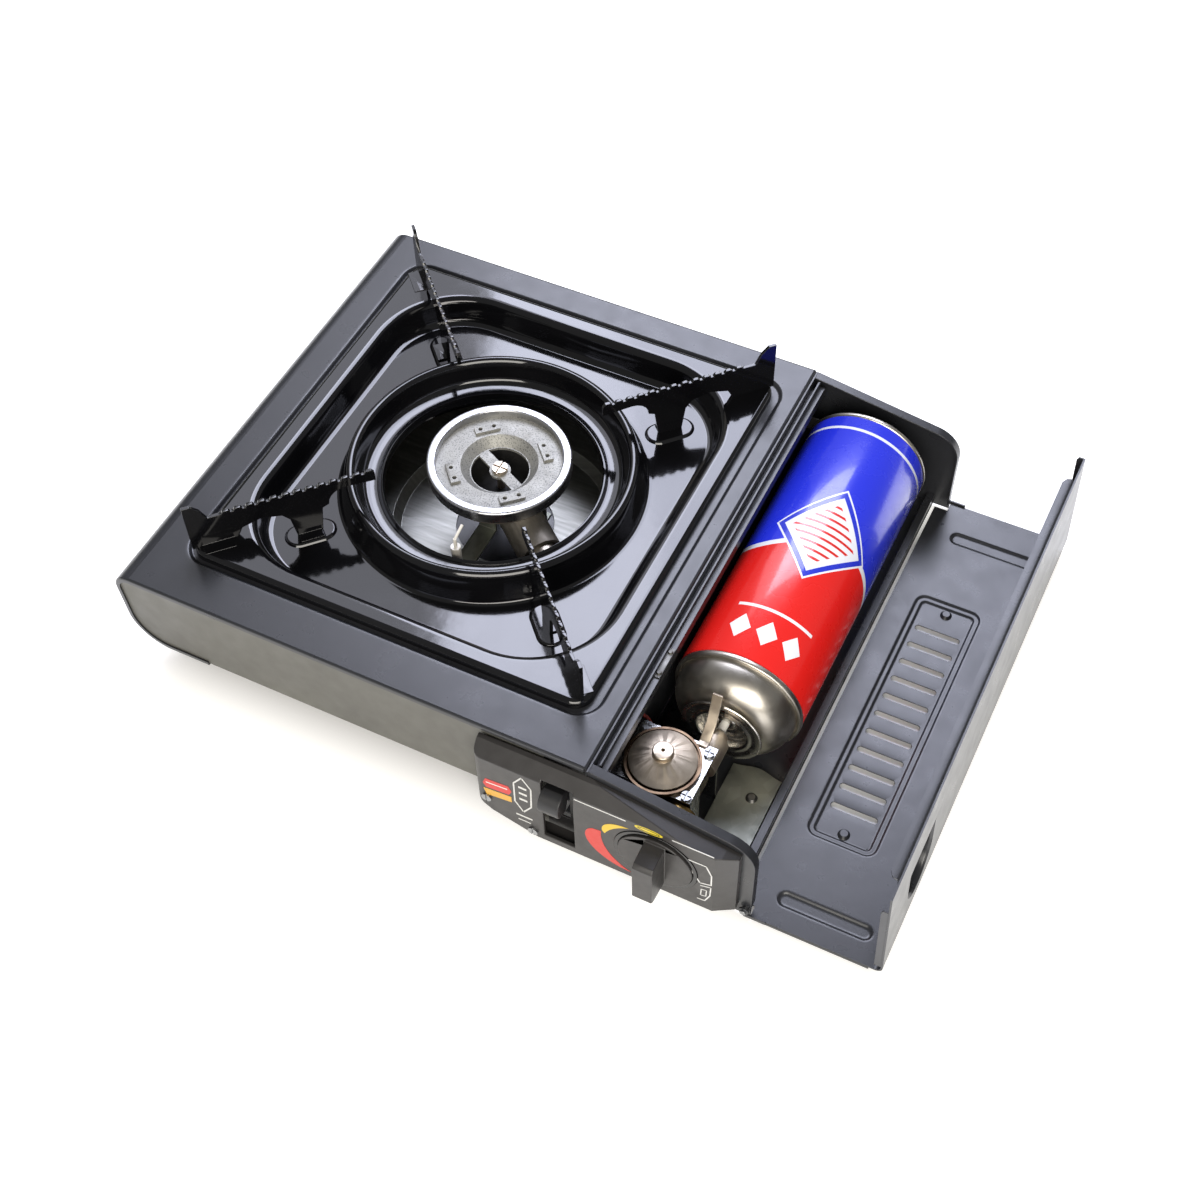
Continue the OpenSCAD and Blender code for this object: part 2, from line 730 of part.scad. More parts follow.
// the panel's outside, or its hollow when shrunk by a wall
module panel_block(wall) {
    x0 = panel_x0 + wall;
    x1 = panel_x1 - wall;
    y0 = panel_y + wall;
    top = 60 - wall;
    intersection() {
        translate([0, 0, -cut]) linear_extrude(deck_z) polygon(concat(
            [[x0, wall ? cut : 0]],
            arc_pts(x0 + 4, y0 + 4, 4, 180, 270, 4),
            [[x1 - 9.5, y0], [x1, y0 + 5.5], [x1, wall ? cut : 0]]
        ));
        along_x(x0 - cut, x1 + cut) polygon([
            [y0, 0], [y0, top], [y0 + 6.5, top + 6.5], [cut, top + 8], [cut, 0]
        ]);
        along_y(panel_y - cut, cut) polygon(concat(
            [[x0, deck_z - 5 - wall], [bay_x, rim_z - 3 - wall]],
            [[shoulder_x, rim_z - 3 - wall - (shoulder_x - bay_x) * tan(rim_fall)]],
            [[x1, 55 - wall], [x1, 8 + wall], [panel_x0 + 32, 8 + wall], [x0 + 8, 16 + wall]],
            [[x0, 22 + wall]]
        ));
    }
}

module control_panel() {
    color("#2f2e2e") placed() difference() {
        panel_block(0);
        panel_block(panel_wall);
        box([slot_x0, panel_y - cut, slot_z0], [slot_x1, 0, slot_z1]);
        rod([dial_x, panel_y - cut, dial_z], [dial_x, 0, dial_z], 5);
        rod([dial_x, panel_y - cut, dial_z], [dial_x, panel_y + 1, dial_z], ring_r + 1);
    }
}

module dial_ring() {
    color("#0c0c0d") placed() turned_y(dial_x, dial_z) polygon([
        [ring_r - 1, panel_y + 1], [ring_r + 1, panel_y + 1], [ring_r + 1, panel_y - 0.4],
        [ring_r - 1, panel_y - 0.4]
    ]);
}

module control_knob() {
    hub_r = ring_r - 1 - gap;
    color("#353434") placed() difference() {
        union() {
            rod([dial_x, panel_y - 1.4, dial_z], [dial_x, panel_y + 1 - gap, dial_z], hub_r);
            along_x(dial_x - grip_w / 2, dial_x + grip_w / 2) polygon([
                [panel_y - 1, dial_z - grip_len / 2], [panel_y - 1, dial_z + grip_len / 2],
                [panel_y - grip_out + 2, dial_z + grip_len / 2 - 1],
                [panel_y - grip_out, dial_z + grip_len / 2 - 3],
                [panel_y - grip_out, dial_z - grip_len / 2 + 3],
                [panel_y - grip_out + 2, dial_z - grip_len / 2 + 1]
            ]);
        }
        rod([dial_x, panel_y - 6, dial_z], [dial_x, 0, dial_z], 3);
    }
}

module panel_screws() {
    color("#6f7072") placed()
        for (p = [[211, 27], [panel_x0 + 30, 13]])
            translate([p[0], panel_y, p[1]]) rotate([90, 0, 0]) difference() {
                cylinder(h = 1, r = 2.6);
                translate([0, 0, 1]) cube([0.8, 6, 1], center = true);
            }
}

// lever frame: origin at the pivot, arm towards the front
module at_lever() {
    translate([0, lever_y, lever_z]) rotate([-lever_up, 0, 0]) children();
}

module lock_lever() {
    color("#c2c4c5") placed() at_lever() difference() {
        union() {
            box([lever_x, -lever_reach, -3], [lever_x + 2, 4, 3]);
            rod([lever_x - 3, 0, 0], [slide_x - 1.2, 0, 0], 4);
            box([slide_x - 3.4, -2.5, 2], [slide_x - 1.4, 2.5, crank_r + 2.5]);
            rod([slide_x - 3.4, 0, crank_r], [slide_x + 2.5, 0, crank_r], 1.5);
        }
        rod([lever_x - 4, 0, 0], [slide_x, 0, 0], pivot_r + run_gap);
    }
}

// plate behind the front panel, and the pin that the lever turns on
module lever_pivot() {
    plate_x = lever_x - 5.5;
    color("#8b8d8f") placed() {
        box([plate_x, 2 * skin, lever_z - 8], [plate_x + skin, lever_y + 6, lever_z + 8]);
        box([plate_x - 6, 2 * skin, lever_z - 8], [plate_x, 3 * skin, lever_z + 8]);
        rod([plate_x, lever_y, lever_z], [slide_x - skin, lever_y, lever_z], pivot_r);
    }
}

module lever_cap() {
    color("#1d1d1e") placed() at_lever() difference() {
        along_x(lever_x - 2, lever_x + 9) polygon(concat(
            [[-lever_reach + 4, -7], [-lever_reach + 4, 7]],
            arc_pts(-lever_reach + 1, 0, 7.6, 112, 248, 8)
        ));
        box([lever_x, -lever_reach, -3], [lever_x + 2, 10, 3]);
    }
}

// strip that draws the cartridge forward, with its hook behind the cartridge's base
module pusher_slide() {
    slot_y = lever_y + crank_r * sin(lever_up);
    slot_z = lever_z + crank_r * cos(lever_up);
    color("#c2c4c5") placed() difference() {
        union() {
            along_x(slide_x, slide_x + 1.5) polygon([
                [slot_y - 7, slot_z - 7], [slot_y + 8, slot_z - 7], [slot_y + 14, 42], [260.4, 42],
                [260.4, 52], [slot_y + 8, 52], [slot_y - 7, slot_z + 8]
            ]);
            box([slide_x, 259.2, 43.5], [can_x - 20, 260.4, 52]);
            box([can_x - 20, 259.2, 24], [can_x + 12, 260.4, 52]);
        }
        along_x(slide_x - cut, slide_x + 3) translate([slot_y, slot_z]) square([3.6, 10], center = true);
        for (y = [70, 160]) along_x(slide_x - cut, slide_x + 3)
            translate([y + push_travel / 2, 46]) square([push_travel + 4.8, 4.6], center = true);
    }
}

module slide_pins() {
    color("#8b8d8f") placed() for (y = [70, 160]) {
        rod([slide_x - 2.2, y, 46], [slide_x - gap, y, 46], 4);
        rod([slide_x - gap, y, 46], [bay_x, y, 46], 2);
        rod([slide_x + 2, y, 46], [deck_w, y, 46], 4);
    }
}

// ---------- gas cartridge ----------

can_end_y = can_seam_y + can_len;

module cartridge_body() {
    color("#2b3bea") placed() turned_y(can_x, can_z) polygon([
        [can_r, can_seam_y], [can_r, can_end_y], [can_r - 0.8, can_end_y], [can_r - 0.8, can_seam_y]
    ]);
}

// domed front end with a rolled seam
module cartridge_shoulder() {
    color("#b7b4ae") placed() turned_y(can_x, can_z) polygon(concat(
        [[can_r - 0.9, can_seam_y], [can_r + 0.25, can_seam_y], [can_r + 0.25, can_seam_y - 2.6]],
        [[can_r - 1.2, can_seam_y - 3.2]],
        arc_pts(15.5, can_seam_y - 4, 16.2, 0, -80, 8),
        [[15.4, can_seam_y - 20], [13.8, can_seam_y - 20], [13.8, can_seam_y - 17.5], [18, can_seam_y - 18.6]],
        arc_pts(15.5, can_seam_y - 4, 14.8, -75, 0, 8)
    ));
}

module cartridge_base() {
    color("#c9cacc") placed() turned_y(can_x, can_z) polygon([
        [can_r - 0.9, can_end_y], [can_r + 0.25, can_end_y], [can_r + 0.25, can_end_y + 2.4],
        [can_r - 2, can_end_y + 2.4], [can_r - 3, can_end_y - 1], [20, can_end_y - 5],
        [0, can_end_y - 7], [0, can_end_y - 8], [20, can_end_y - 6], [can_r - 3, can_end_y - 2]
    ]);
}

// valve cup and the notched collar that the finger enters
module cartridge_collar() {
    color("#d0cec8") placed() difference() {
        turned_y(can_x, can_z) polygon([
            [stem_r, cup_y + 1], [13.5, cup_y + 1], [13.5, collar_y + 1.2], [collar_r, collar_y + 1.2],
            [collar_r, collar_y], [12.5, collar_y], [12.5, cup_y], [6, cup_y], [5, cup_y - 1.6],
            [stem_r, cup_y - 1.6]
        ]);
        box([can_x - 5.2, collar_y - cut, can_z + 13], [can_x + 1.2, collar_y + 3, can_z + collar_r + 1]);
    }
}

module cartridge_stem() {
    color("#e8e4da") placed() turned_y(can_x, can_z) polygon([
        [0, stem_y + 1], [0.8, stem_y + 1], [0.8, stem_y], [stem_r - 0.4, stem_y], [stem_r, stem_y + 0.6],
        [stem_r, cup_y + 2.4], [0, cup_y + 2.4]
    ]);
}

// ---------- lid ----------

// the side that lies on the table, and the fold: inner face first, then the outer face
function lid_section(off) = concat(
    [[side_x, lid_under + skin - off]],
    arc_pts(fold_x - lid_bend, lid_under + lid_bend, lid_bend - skin + off, 270, 360 + lid_lean, 6)
);

// leaf frame: origin at the fold's centre, Z up along the leaf
module at_leaf() {
    translate([fold_x - lid_bend, 0, lid_under + lid_bend]) rotate([0, -lid_lean, 0]) children();
}

module leaf_sheet(y0, y1) {
    inside = lid_bend - skin;
    box([inside, y0, -0.2], [lid_bend, y1, leaf_len]);
    translate([0, 0, leaf_len - skin]) linear_extrude(skin) polygon(concat(
        [[lid_bend, flange_y0], [lid_bend, flange_y1]],
        arc_pts(inside - leaf_flange + 4, flange_y1 - 4, 4, 90, 180, 4),
        arc_pts(inside - leaf_flange + 4, flange_y0 + 4, 4, 180, 270, 4)
    ));
    box([inside - end_flange, y0, -1], [inside, y0 + skin - 0.1, 52]);
    box([inside - end_flange, y1 - skin + 0.1, -1], [inside, y1, leaf_len]);
}

// D-shaped pocket for the fingers, its flat side towards the leaf's free edge
module pocket(inset, x0, x1) {
    round_z = pocket_w / 2 + 5;
    along_x(x0, x1) {
        translate([pocket_y, round_z]) circle(pocket_w / 2 - inset);
        translate([pocket_y - pocket_w / 2 + inset, round_z]) square([pocket_w - 2 * inset, 17 - inset]);
    }
}

module lid_ear(y) {
    translate([0, y, 0]) difference() {
        union() {
            rod([hinge_x, 0, hinge_z], [hinge_x, skin, hinge_z], 2.6);
            box([hinge_x, 0, lid_under], [side_x + 8, skin, lid_under + 2.4]);
        }
        rod([hinge_x, -cut, hinge_z], [hinge_x, 2, hinge_z], hinge_r + run_gap);
    }
}

module cartridge_lid() {
    y0 = -lid_over;
    y1 = case_d + lid_over;
    wall_y = rim_flange + 0.5;
    color("#3d3e43") placed() difference() {
        union() {
            along_y(y0, y1) strip(lid_section(skin), lid_section(0));
            box([lid_tuck, wall_y, lid_under], [side_x + 1, case_d - wall_y, lid_under + skin]);
            for (y = [y0, y1 - skin]) box([side_x + 1, y, 0.6], [fold_x - 6, y + skin, lid_under + skin]);
            lid_ear(y0 - skin);
            lid_ear(y1);
            translate([slot_panel_x, slot_panel_y, lid_under - emboss])
                linear_extrude(emboss + skin) rounded_rect(slot_panel_w, slot_panel_l, 6);
            at_leaf() {
                leaf_sheet(y0, y1);
                pocket(0, lid_bend - skin - pocket_deep, lid_bend - skin / 2);
            }
        }
        at_leaf() pocket(skin, lid_bend - pocket_deep, lid_bend + cut);
        translate([slot_panel_x, slot_panel_y, lid_under - emboss + skin])
            linear_extrude(emboss + skin) rounded_rect(slot_panel_w - 3, slot_panel_l - 3, 5);
        for (i = [0:lid_slots - 1])
            translate([slot_panel_x, slot_panel_y + (i - (lid_slots - 1) / 2) * 11.8, 0])
                linear_extrude(4) slot_2d(24, 4);
    }
}

module lid_rivets() {
    color("#a9aaa8") placed()
        for (s = [-1, 1])
            translate([slot_panel_x, slot_panel_y + s * 72.5, lid_under - emboss + skin])
                cylinder(h = 1.6, r1 = 3.2, r2 = 2);
}

module lid_hinge_pins() {
    color("#8b8d8f") placed() {
        rod([hinge_x, -lid_over - 2 * skin, hinge_z], [hinge_x, 0, hinge_z], hinge_r);
        rod([hinge_x, case_d, hinge_z], [hinge_x, case_d + lid_over + 2 * skin, hinge_z], hinge_r);
    }
}

// ---------- drip pan and pot supports ----------

module well_layer(z, inset, thickness) {
    translate([0, 0, z]) linear_extrude(thickness)
        rounded_rect(well_w - 2 * inset, well_d - 2 * inset, well_r - inset, $fn = 48);
}

module drip_pan() {
    bead_z = crest_top - crest_bead;
    bead_r = crest_r - crest_bead + 1.5;
    color("#0d0d0f") placed() translate([pan_x, pan_y, 0]) {
        difference() {
            union() {
                translate([0, 0, deck_z - seat_drop + gap])
                    linear_extrude(pan_top - deck_z + seat_drop - gap) rounded_rect(pan_w, pan_d, pan_r);
                hull() {
                    well_layer(pan_top - 1.5, -skin, 1);
                    well_layer(floor_top - skin, well_slope - skin, 1);
                }
            }
            translate([0, 0, deck_z - seat_drop]) linear_extrude(pan_top - deck_z + seat_drop - skin)
                difference() {
                    rounded_rect(pan_w - 2 * skin, pan_d - 2 * skin, pan_r - skin);
                    rounded_rect(well_w + 2 * skin, well_d + 2 * skin, well_r + skin);
                }
            hull() {
                well_layer(pan_top, 0, 1);
                well_layer(floor_top, well_slope, 1);
            }
            translate([0, 0, floor_top - 2 * skin]) cylinder(h = 4, r = crest_r + 6);
        }
        rotate_extrude() polygon(concat(
            [[crest_r + 8, floor_top - skin], [crest_r + 8, floor_top], [crest_r + 5, floor_top + 0.6]],
            [[crest_r + 2.4, bead_z]],
            arc_pts(bead_r, bead_z, crest_bead, 0, 150, 6),
            [[pan_hole_r + 2, floor_top + 7], [pan_hole_r, floor_top + 4], [pan_hole_r, floor_top + 1.5]],
            [[pan_hole_r + 1, floor_top + 1.5], [pan_hole_r + 1, floor_top + 3.7]],
            [[pan_hole_r + 2.8, floor_top + 6.2]],
            arc_pts(bead_r, bead_z, crest_bead - 1, 140, 0, 6),
            [[crest_r + 4.2, floor_top - skin]]
        ));
        for (a = [arm_angle, 180 - arm_angle, 180 + arm_angle, -arm_angle]) rotate([0, 0, a])
            translate([boss_r, 0, floor_top - skin / 2]) linear_extrude(boss_top - floor_top + skin / 2)
                slot_2d(26, 14);
    }
}

teeth = floor((arm_outer - 12 - arm_inner) / tooth_pitch);
tooth_at = [0, 0.45, 0.6, 0.85];            // corners of a flat-topped tooth, as parts of its pitch

module pot_support(angle) {
    edge = pan_top + arm_rise;
    color("#0d0d0f") placed() translate([pan_x, pan_y, 0]) rotate([0, 0, angle]) {
        translate([0, arm_t / 2, 0]) rotate([90, 0, 0]) linear_extrude(arm_t) polygon(concat(
            [[arm_outer, pan_top], [132, pan_top], [129, 80], [119, 83], [109, 80.5], [105.5, 76]],
            [[103.5, boss_top], [90.5, boss_top], [88.5, 78]],
            arc_pts(76, 79.5, 9, 0, 90, 5),
            [[68, 88], [arm_inner, 87.5], [arm_inner, edge - 2]],
            [for (i = [0:teeth - 1], corner = [0:3])
                [arm_inner + 1.5 + (i + tooth_at[corner]) * tooth_pitch, edge - (corner > 1 ? tooth_depth : 0)]],
            [[arm_outer - 11, edge - 1.5], [arm_outer - 8, edge + 5], [arm_outer - 4, edge + horn_rise]],
            [[arm_outer, edge + horn_rise]]
        ));
        box([arm_outer - 21, arm_t / 2, pan_top], [arm_outer - 5, 7, pan_top + 1.2]);
        box([91, arm_t / 2, boss_top], [103, 6, boss_top + 1.2]);
    }
}

module pot_support_front_left() pot_support(180 + arm_angle);

module pot_support_front_right() pot_support(-arm_angle);

module pot_support_rear_left() pot_support(180 - arm_angle);

module pot_support_rear_right() pot_support(arm_angle);

top_case();
front_panel();
rear_panel();
base_plate();
partition_wall();
bay_floor();
bay_front_wall();
bay_rear_wall();
can_cradles();
guide_plate();
foot_front_left();
foot_rear_left();
bay_pads();
case_rivets();
reflector_plate();
burner_bracket();
burner_body();
burner_ring();
burner_head();
burner_screw();
mixing_tube();
gas_injector();
gas_pipe();
ignition_electrode();
electrode_bracket();
ignition_lead();
piezo_igniter();
governor_bracket();
governor_body();
governor_cap();
governor_screws();
locating_finger();
gas_inlet();
gas_valve();
valve_spindle();
control_knob();
control_panel();
dial_ring();
panel_screws();
lock_lever();
lever_cap();
lever_pivot();
pusher_slide();
slide_pins();
cartridge_body();
cartridge_shoulder();
cartridge_base();
cartridge_collar();
cartridge_stem();
cartridge_lid();
lid_rivets();
lid_hinge_pins();
drip_pan();
pot_support_front_left();
pot_support_front_right();
pot_support_rear_left();
pot_support_rear_right();
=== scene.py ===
import json
import math

import bmesh
import bpy
from mathutils import Matrix, Vector


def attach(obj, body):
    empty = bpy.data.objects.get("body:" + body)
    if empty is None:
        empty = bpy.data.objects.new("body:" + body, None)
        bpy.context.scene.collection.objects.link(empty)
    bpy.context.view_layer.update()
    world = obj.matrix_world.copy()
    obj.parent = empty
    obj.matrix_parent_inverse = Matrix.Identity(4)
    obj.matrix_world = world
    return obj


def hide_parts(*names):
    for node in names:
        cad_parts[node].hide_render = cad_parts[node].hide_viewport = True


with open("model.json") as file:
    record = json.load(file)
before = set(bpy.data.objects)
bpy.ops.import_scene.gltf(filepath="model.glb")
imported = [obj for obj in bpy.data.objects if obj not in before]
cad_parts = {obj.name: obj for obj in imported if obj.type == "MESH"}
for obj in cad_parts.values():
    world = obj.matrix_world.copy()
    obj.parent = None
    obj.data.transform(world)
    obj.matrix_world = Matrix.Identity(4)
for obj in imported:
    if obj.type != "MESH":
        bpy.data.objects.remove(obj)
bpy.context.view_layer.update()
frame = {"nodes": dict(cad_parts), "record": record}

SLOT_OF = {part["node"]: part["material_slot"] for part in frame["record"]["subparts"]}
BODY_OF = {node: body for body, nodes in frame["record"]["behaviour"]["bodies"].items() for node in nodes}

# ---------- places, in millimetres from the case's left wall, front wall and the table ----------

HALF_REACH = 204.75
MID_DEPTH = 127.1
CASE_D, DECK_Z, DECK_W = 275, 72, 260
BELLY_Z, CORNER_R, BELLY_R, WALL_LEAN = 21, 10, 22, math.radians(5)
WRAP_X = 46
PAN_X, PAN_Y, PAN_W, PAN_D = 136.5, 141, 217, 226
CAN_X, CAN_Z, CAN_R, CAN_Y0, CAN_Y1 = 298, 36, 33.2, 89, 256
PANEL_Y, DIAL_X, DIAL_Z = -9, 299, 34.5
OFF_X, OFF_Z = 295.4, 57.9                      # middle of the mark over the dial
BURNER_X, BURNER_Y = 139, 144
BOWL_R, BOWL_LOW, BOWL_TOP = 31, 40, 70.5       # hollow of the burner
SLOT_X = 249                                    # middle of the lever's slot in the control panel
POCKET_Y, POCKET_V, POCKET_R = 44, 23, 17       # thumb pocket in the lid's leaf
SLOTS_X, SLOTS_Y, RIB_X = 367.5, 131, 375.5     # middles of the lid's slotted panel and of its ribs
HINGE_X, HINGE_Z, TUCK_X, LID_X, FOLD_X = 341, 6.8, 337, 344.3, 405.5
LID_Y0, LID_Y1, LID_Z, LEAF_LEN, LEAF_LEAN = -1.2, 276.2, 3.5, 65.06, math.radians(2.5)
TAU = 2 * math.pi


def at(x, y, z):
    """a place in the case's millimetres, in the frame's metres"""
    return Vector(((x - HALF_REACH) / 1000, (y - MID_DEPTH) / 1000, z / 1000))


# ---------- camera ----------

right = Vector((0.8969717, 0.44173089, -0.01776459))
down = Vector((0.3436106, -0.72188688, -0.60067553))
ahead = Vector((-0.27816096, 0.53268485, -0.79929552))
lens = bpy.data.cameras.new("camera")
lens.lens, lens.sensor_width = 53.55, 36
camera = bpy.data.objects.new("camera", lens)
facing = Matrix((right, -down, -ahead)).transposed().to_4x4()
camera.matrix_world = Matrix.Translation((0.257485, -0.49584, 0.75775)) @ facing
bpy.context.scene.collection.objects.link(camera)
bpy.context.scene.camera = camera
bpy.context.scene.view_settings.view_transform = "Standard"

# ---------- materials ----------


def linear(code):
    """an sRGB hex colour as linear RGBA"""
    parts = [int(code[i:i + 2], 16) / 255 for i in (1, 3, 5)]
    return [c / 12.92 if c <= 0.04045 else ((c + 0.055) / 1.055) ** 2.4 for c in parts] + [1.0]


def add(tree, kind, sockets=None, **settings):
    """adds a node with its settings, its sockets set to values or linked"""
    made = tree.nodes.new(kind)
    for key, value in settings.items():
        setattr(made, key, value)
    for socket, value in (sockets or {}).items():
        if isinstance(value, bpy.types.NodeSocket):
            tree.links.new(value, made.inputs[socket])
        else:
            made.inputs[socket].default_value = value
    return made


def grain(tree, place, size_mm, detail=3.0, stretch=(1, 1, 1)):
    """noise whose spots are about size_mm across, drawn out along the axes in stretch"""
    scaled = add(tree, "ShaderNodeMapping", {"Vector": place, "Scale": stretch})
    return add(tree, "ShaderNodeTexNoise", {"Vector": scaled.outputs[0], "Scale": 1000 / size_mm, "Detail": detail,
                                            "Roughness": 0.5}).outputs["Fac"]


def spread(tree, value, low, high, from_low=0.3, from_high=0.7):
    return add(tree, "ShaderNodeMapRange", {"Value": value, "From Min": from_low, "From Max": from_high,
                                            "To Min": low, "To Max": high}).outputs[0]


def blend(tree, share, first, second):
    """first where the share is 0, second where it is 1"""
    return add(tree, "ShaderNodeMix", {0: share, 6: first, 7: second}, data_type="RGBA").outputs[2]


def maths(tree, operation, *values):
    return add(tree, "ShaderNodeMath", dict(enumerate(values)), operation=operation).outputs[0]


def finish(name, shades, shade_mm, roughness, metallic=0.0, ior=None, relief=(), stretch=(1, 1, 1), coat=0.0,
           coat_roughness=0.1, draw=None, roughness_mm=None):
    """a material: two shades in patches of shade_mm, a roughness that wanders between two values, and relief as
    (spot size in mm, depth in mm, stretch); draw adds a pattern over the colour"""
    made = bpy.data.materials.new(name)
    made.use_nodes = True
    tree = made.node_tree
    shader = tree.nodes["Principled BSDF"]
    place = add(tree, "ShaderNodeTexCoord").outputs["Object"]
    patches = spread(tree, grain(tree, place, shade_mm, 4.0, stretch), 0.0, 1.0)
    colour = blend(tree, patches, linear(shades[0]), linear(shades[1]))
    if draw:
        colour = draw(tree, place, colour)
    tree.links.new(colour, shader.inputs["Base Color"])
    wander = grain(tree, place, roughness_mm or shade_mm * 0.6, 5.0, stretch)
    tree.links.new(spread(tree, wander, *roughness), shader.inputs["Roughness"])
    shader.inputs["Metallic"].default_value = metallic
    if ior:
        shader.inputs["IOR"].default_value = ior
    if coat:
        shader.inputs["Coat Weight"].default_value = coat
        shader.inputs["Coat Roughness"].default_value = coat_roughness
    normal = None
    for size_mm, depth_mm, along in relief:
        height = grain(tree, place, size_mm, 2.0, along)
        sockets = {"Height": height, "Distance": depth_mm / 1000, "Strength": 1.0}
        if normal:
            sockets["Normal"] = normal
        normal = add(tree, "ShaderNodeBump", sockets).outputs[0]
    if normal:
        tree.links.new(normal, shader.inputs["Normal"])
    return made


EVEN = (1, 1, 1)


def spangle(tree, place, colour):
    """zinc crystals about 7 mm across, each a little lighter or darker"""
    cells = add(tree, "ShaderNodeTexVoronoi", {"Vector": place, "Scale": 1000 / 7, "Randomness": 1.0})
    shade = add(tree, "ShaderNodeSeparateColor", {"Color": cells.outputs["Color"]}).outputs[0]
    return blend(tree, maths(tree, "MULTIPLY", shade, 0.22), colour, linear("#5e605e"))


def painted_slot_shade(tree, place, colour):
    """painted shade: near black on the sheet behind the lever's slot, standing in for the shadow there, the paint's
    colour everywhere else
    """
    split = add(tree, "ShaderNodeSeparateXYZ", {0: place}).outputs
    aside = maths(tree, "ABSOLUTE", maths(tree, "SUBTRACT", split[0], at(SLOT_X, 0, 0).x))
    slot = maths(tree, "MULTIPLY", maths(tree, "LESS_THAN", aside, 0.011), maths(tree, "LESS_THAN", split[1], -0.1))
    return blend(tree, slot, colour, linear("#0d0c0c"))


def spray_specks(tree, place, colour):
    """the dark pin specks that sprayed aluminium paint dries to, about 0.7 mm apart"""
    specks = grain(tree, place, 0.7, 1.0)
    return blend(tree, spread(tree, specks, 0.0, 0.75, 0.54, 0.66), colour, linear("#58585a"))


def can_print(tree, place, colour):
    """printed tinplate: blue rear, red front, a white wave between them, rings near the seams and a plain badge"""
    split = add(tree, "ShaderNodeSeparateXYZ", {"Vector": place}).outputs
    side = maths(tree, "SUBTRACT", split[0], at(CAN_X, 0, 0).x)
    height = maths(tree, "SUBTRACT", split[2], CAN_Z / 1000)
    turn = maths(tree, "ARCTAN2", side, height)
    run = maths(tree, "SUBTRACT", split[1], at(0, CAN_Y0, 0).y)
    wave = maths(tree, "MULTIPLY", maths(tree, "SINE", maths(tree, "MULTIPLY", turn, 2.0)), 0.007)
    edge = maths(tree, "SUBTRACT", run, maths(tree, "ADD", wave, 0.0785))
    halves = blend(tree, maths(tree, "GREATER_THAN", edge, 0.0), linear("#e3201b"), linear("#2433d6"))

    def band(centre, half_width, source):
        off = maths(tree, "ABSOLUTE", maths(tree, "SUBTRACT", source, centre))
        return maths(tree, "LESS_THAN", off, half_width)

    # badge on top of the cartridge: an upright lozenge with a striped field
    around = maths(tree, "MULTIPLY", maths(tree, "SUBTRACT", turn, 0.22), CAN_R / 1000)
    along = maths(tree, "SUBTRACT", run, 0.0865)
    reach = maths(tree, "ADD", maths(tree, "ABSOLUTE", maths(tree, "MULTIPLY", around, 1.15)),
                  maths(tree, "ABSOLUTE", along))
    stripes = maths(tree, "LESS_THAN", maths(tree, "FRACT", maths(tree, "MULTIPLY", along, 1000 / 4.4)), 0.34)
    white, blue, red = linear("#eef0f4"), linear("#2536c8"), linear("#dc241d")
    inked = blend(tree, band(0.0, 0.0016, edge), halves, white)
    inked = blend(tree, band(0.158, 0.0009, run), inked, white)
    # a short bar and a row of three lozenges near the front seam
    bar = maths(tree, "MULTIPLY", band(0.031, 0.0009, run), band(0.15, 0.62, turn))
    inked = blend(tree, bar, inked, white)
    for middle in (-0.27, 0.15, 0.57):
        wide = maths(tree, "MULTIPLY", maths(tree, "ABSOLUTE", maths(tree, "SUBTRACT", turn, middle)), CAN_R / 5.6)
        tall = maths(tree, "MULTIPLY", maths(tree, "ABSOLUTE", maths(tree, "SUBTRACT", run, 0.0175)), 1000 / 7.5)
        inked = blend(tree, maths(tree, "LESS_THAN", maths(tree, "ADD", wide, tall), 1.0), inked, white)
    inked = blend(tree, maths(tree, "LESS_THAN", reach, 0.031), inked, white)
    inked = blend(tree, maths(tree, "LESS_THAN", reach, 0.0295), inked, blue)
    inked = blend(tree, maths(tree, "LESS_THAN", reach, 0.0255), inked, white)
    field = maths(tree, "MULTIPLY", maths(tree, "LESS_THAN", reach, 0.0205), stripes)
    return blend(tree, field, inked, red)


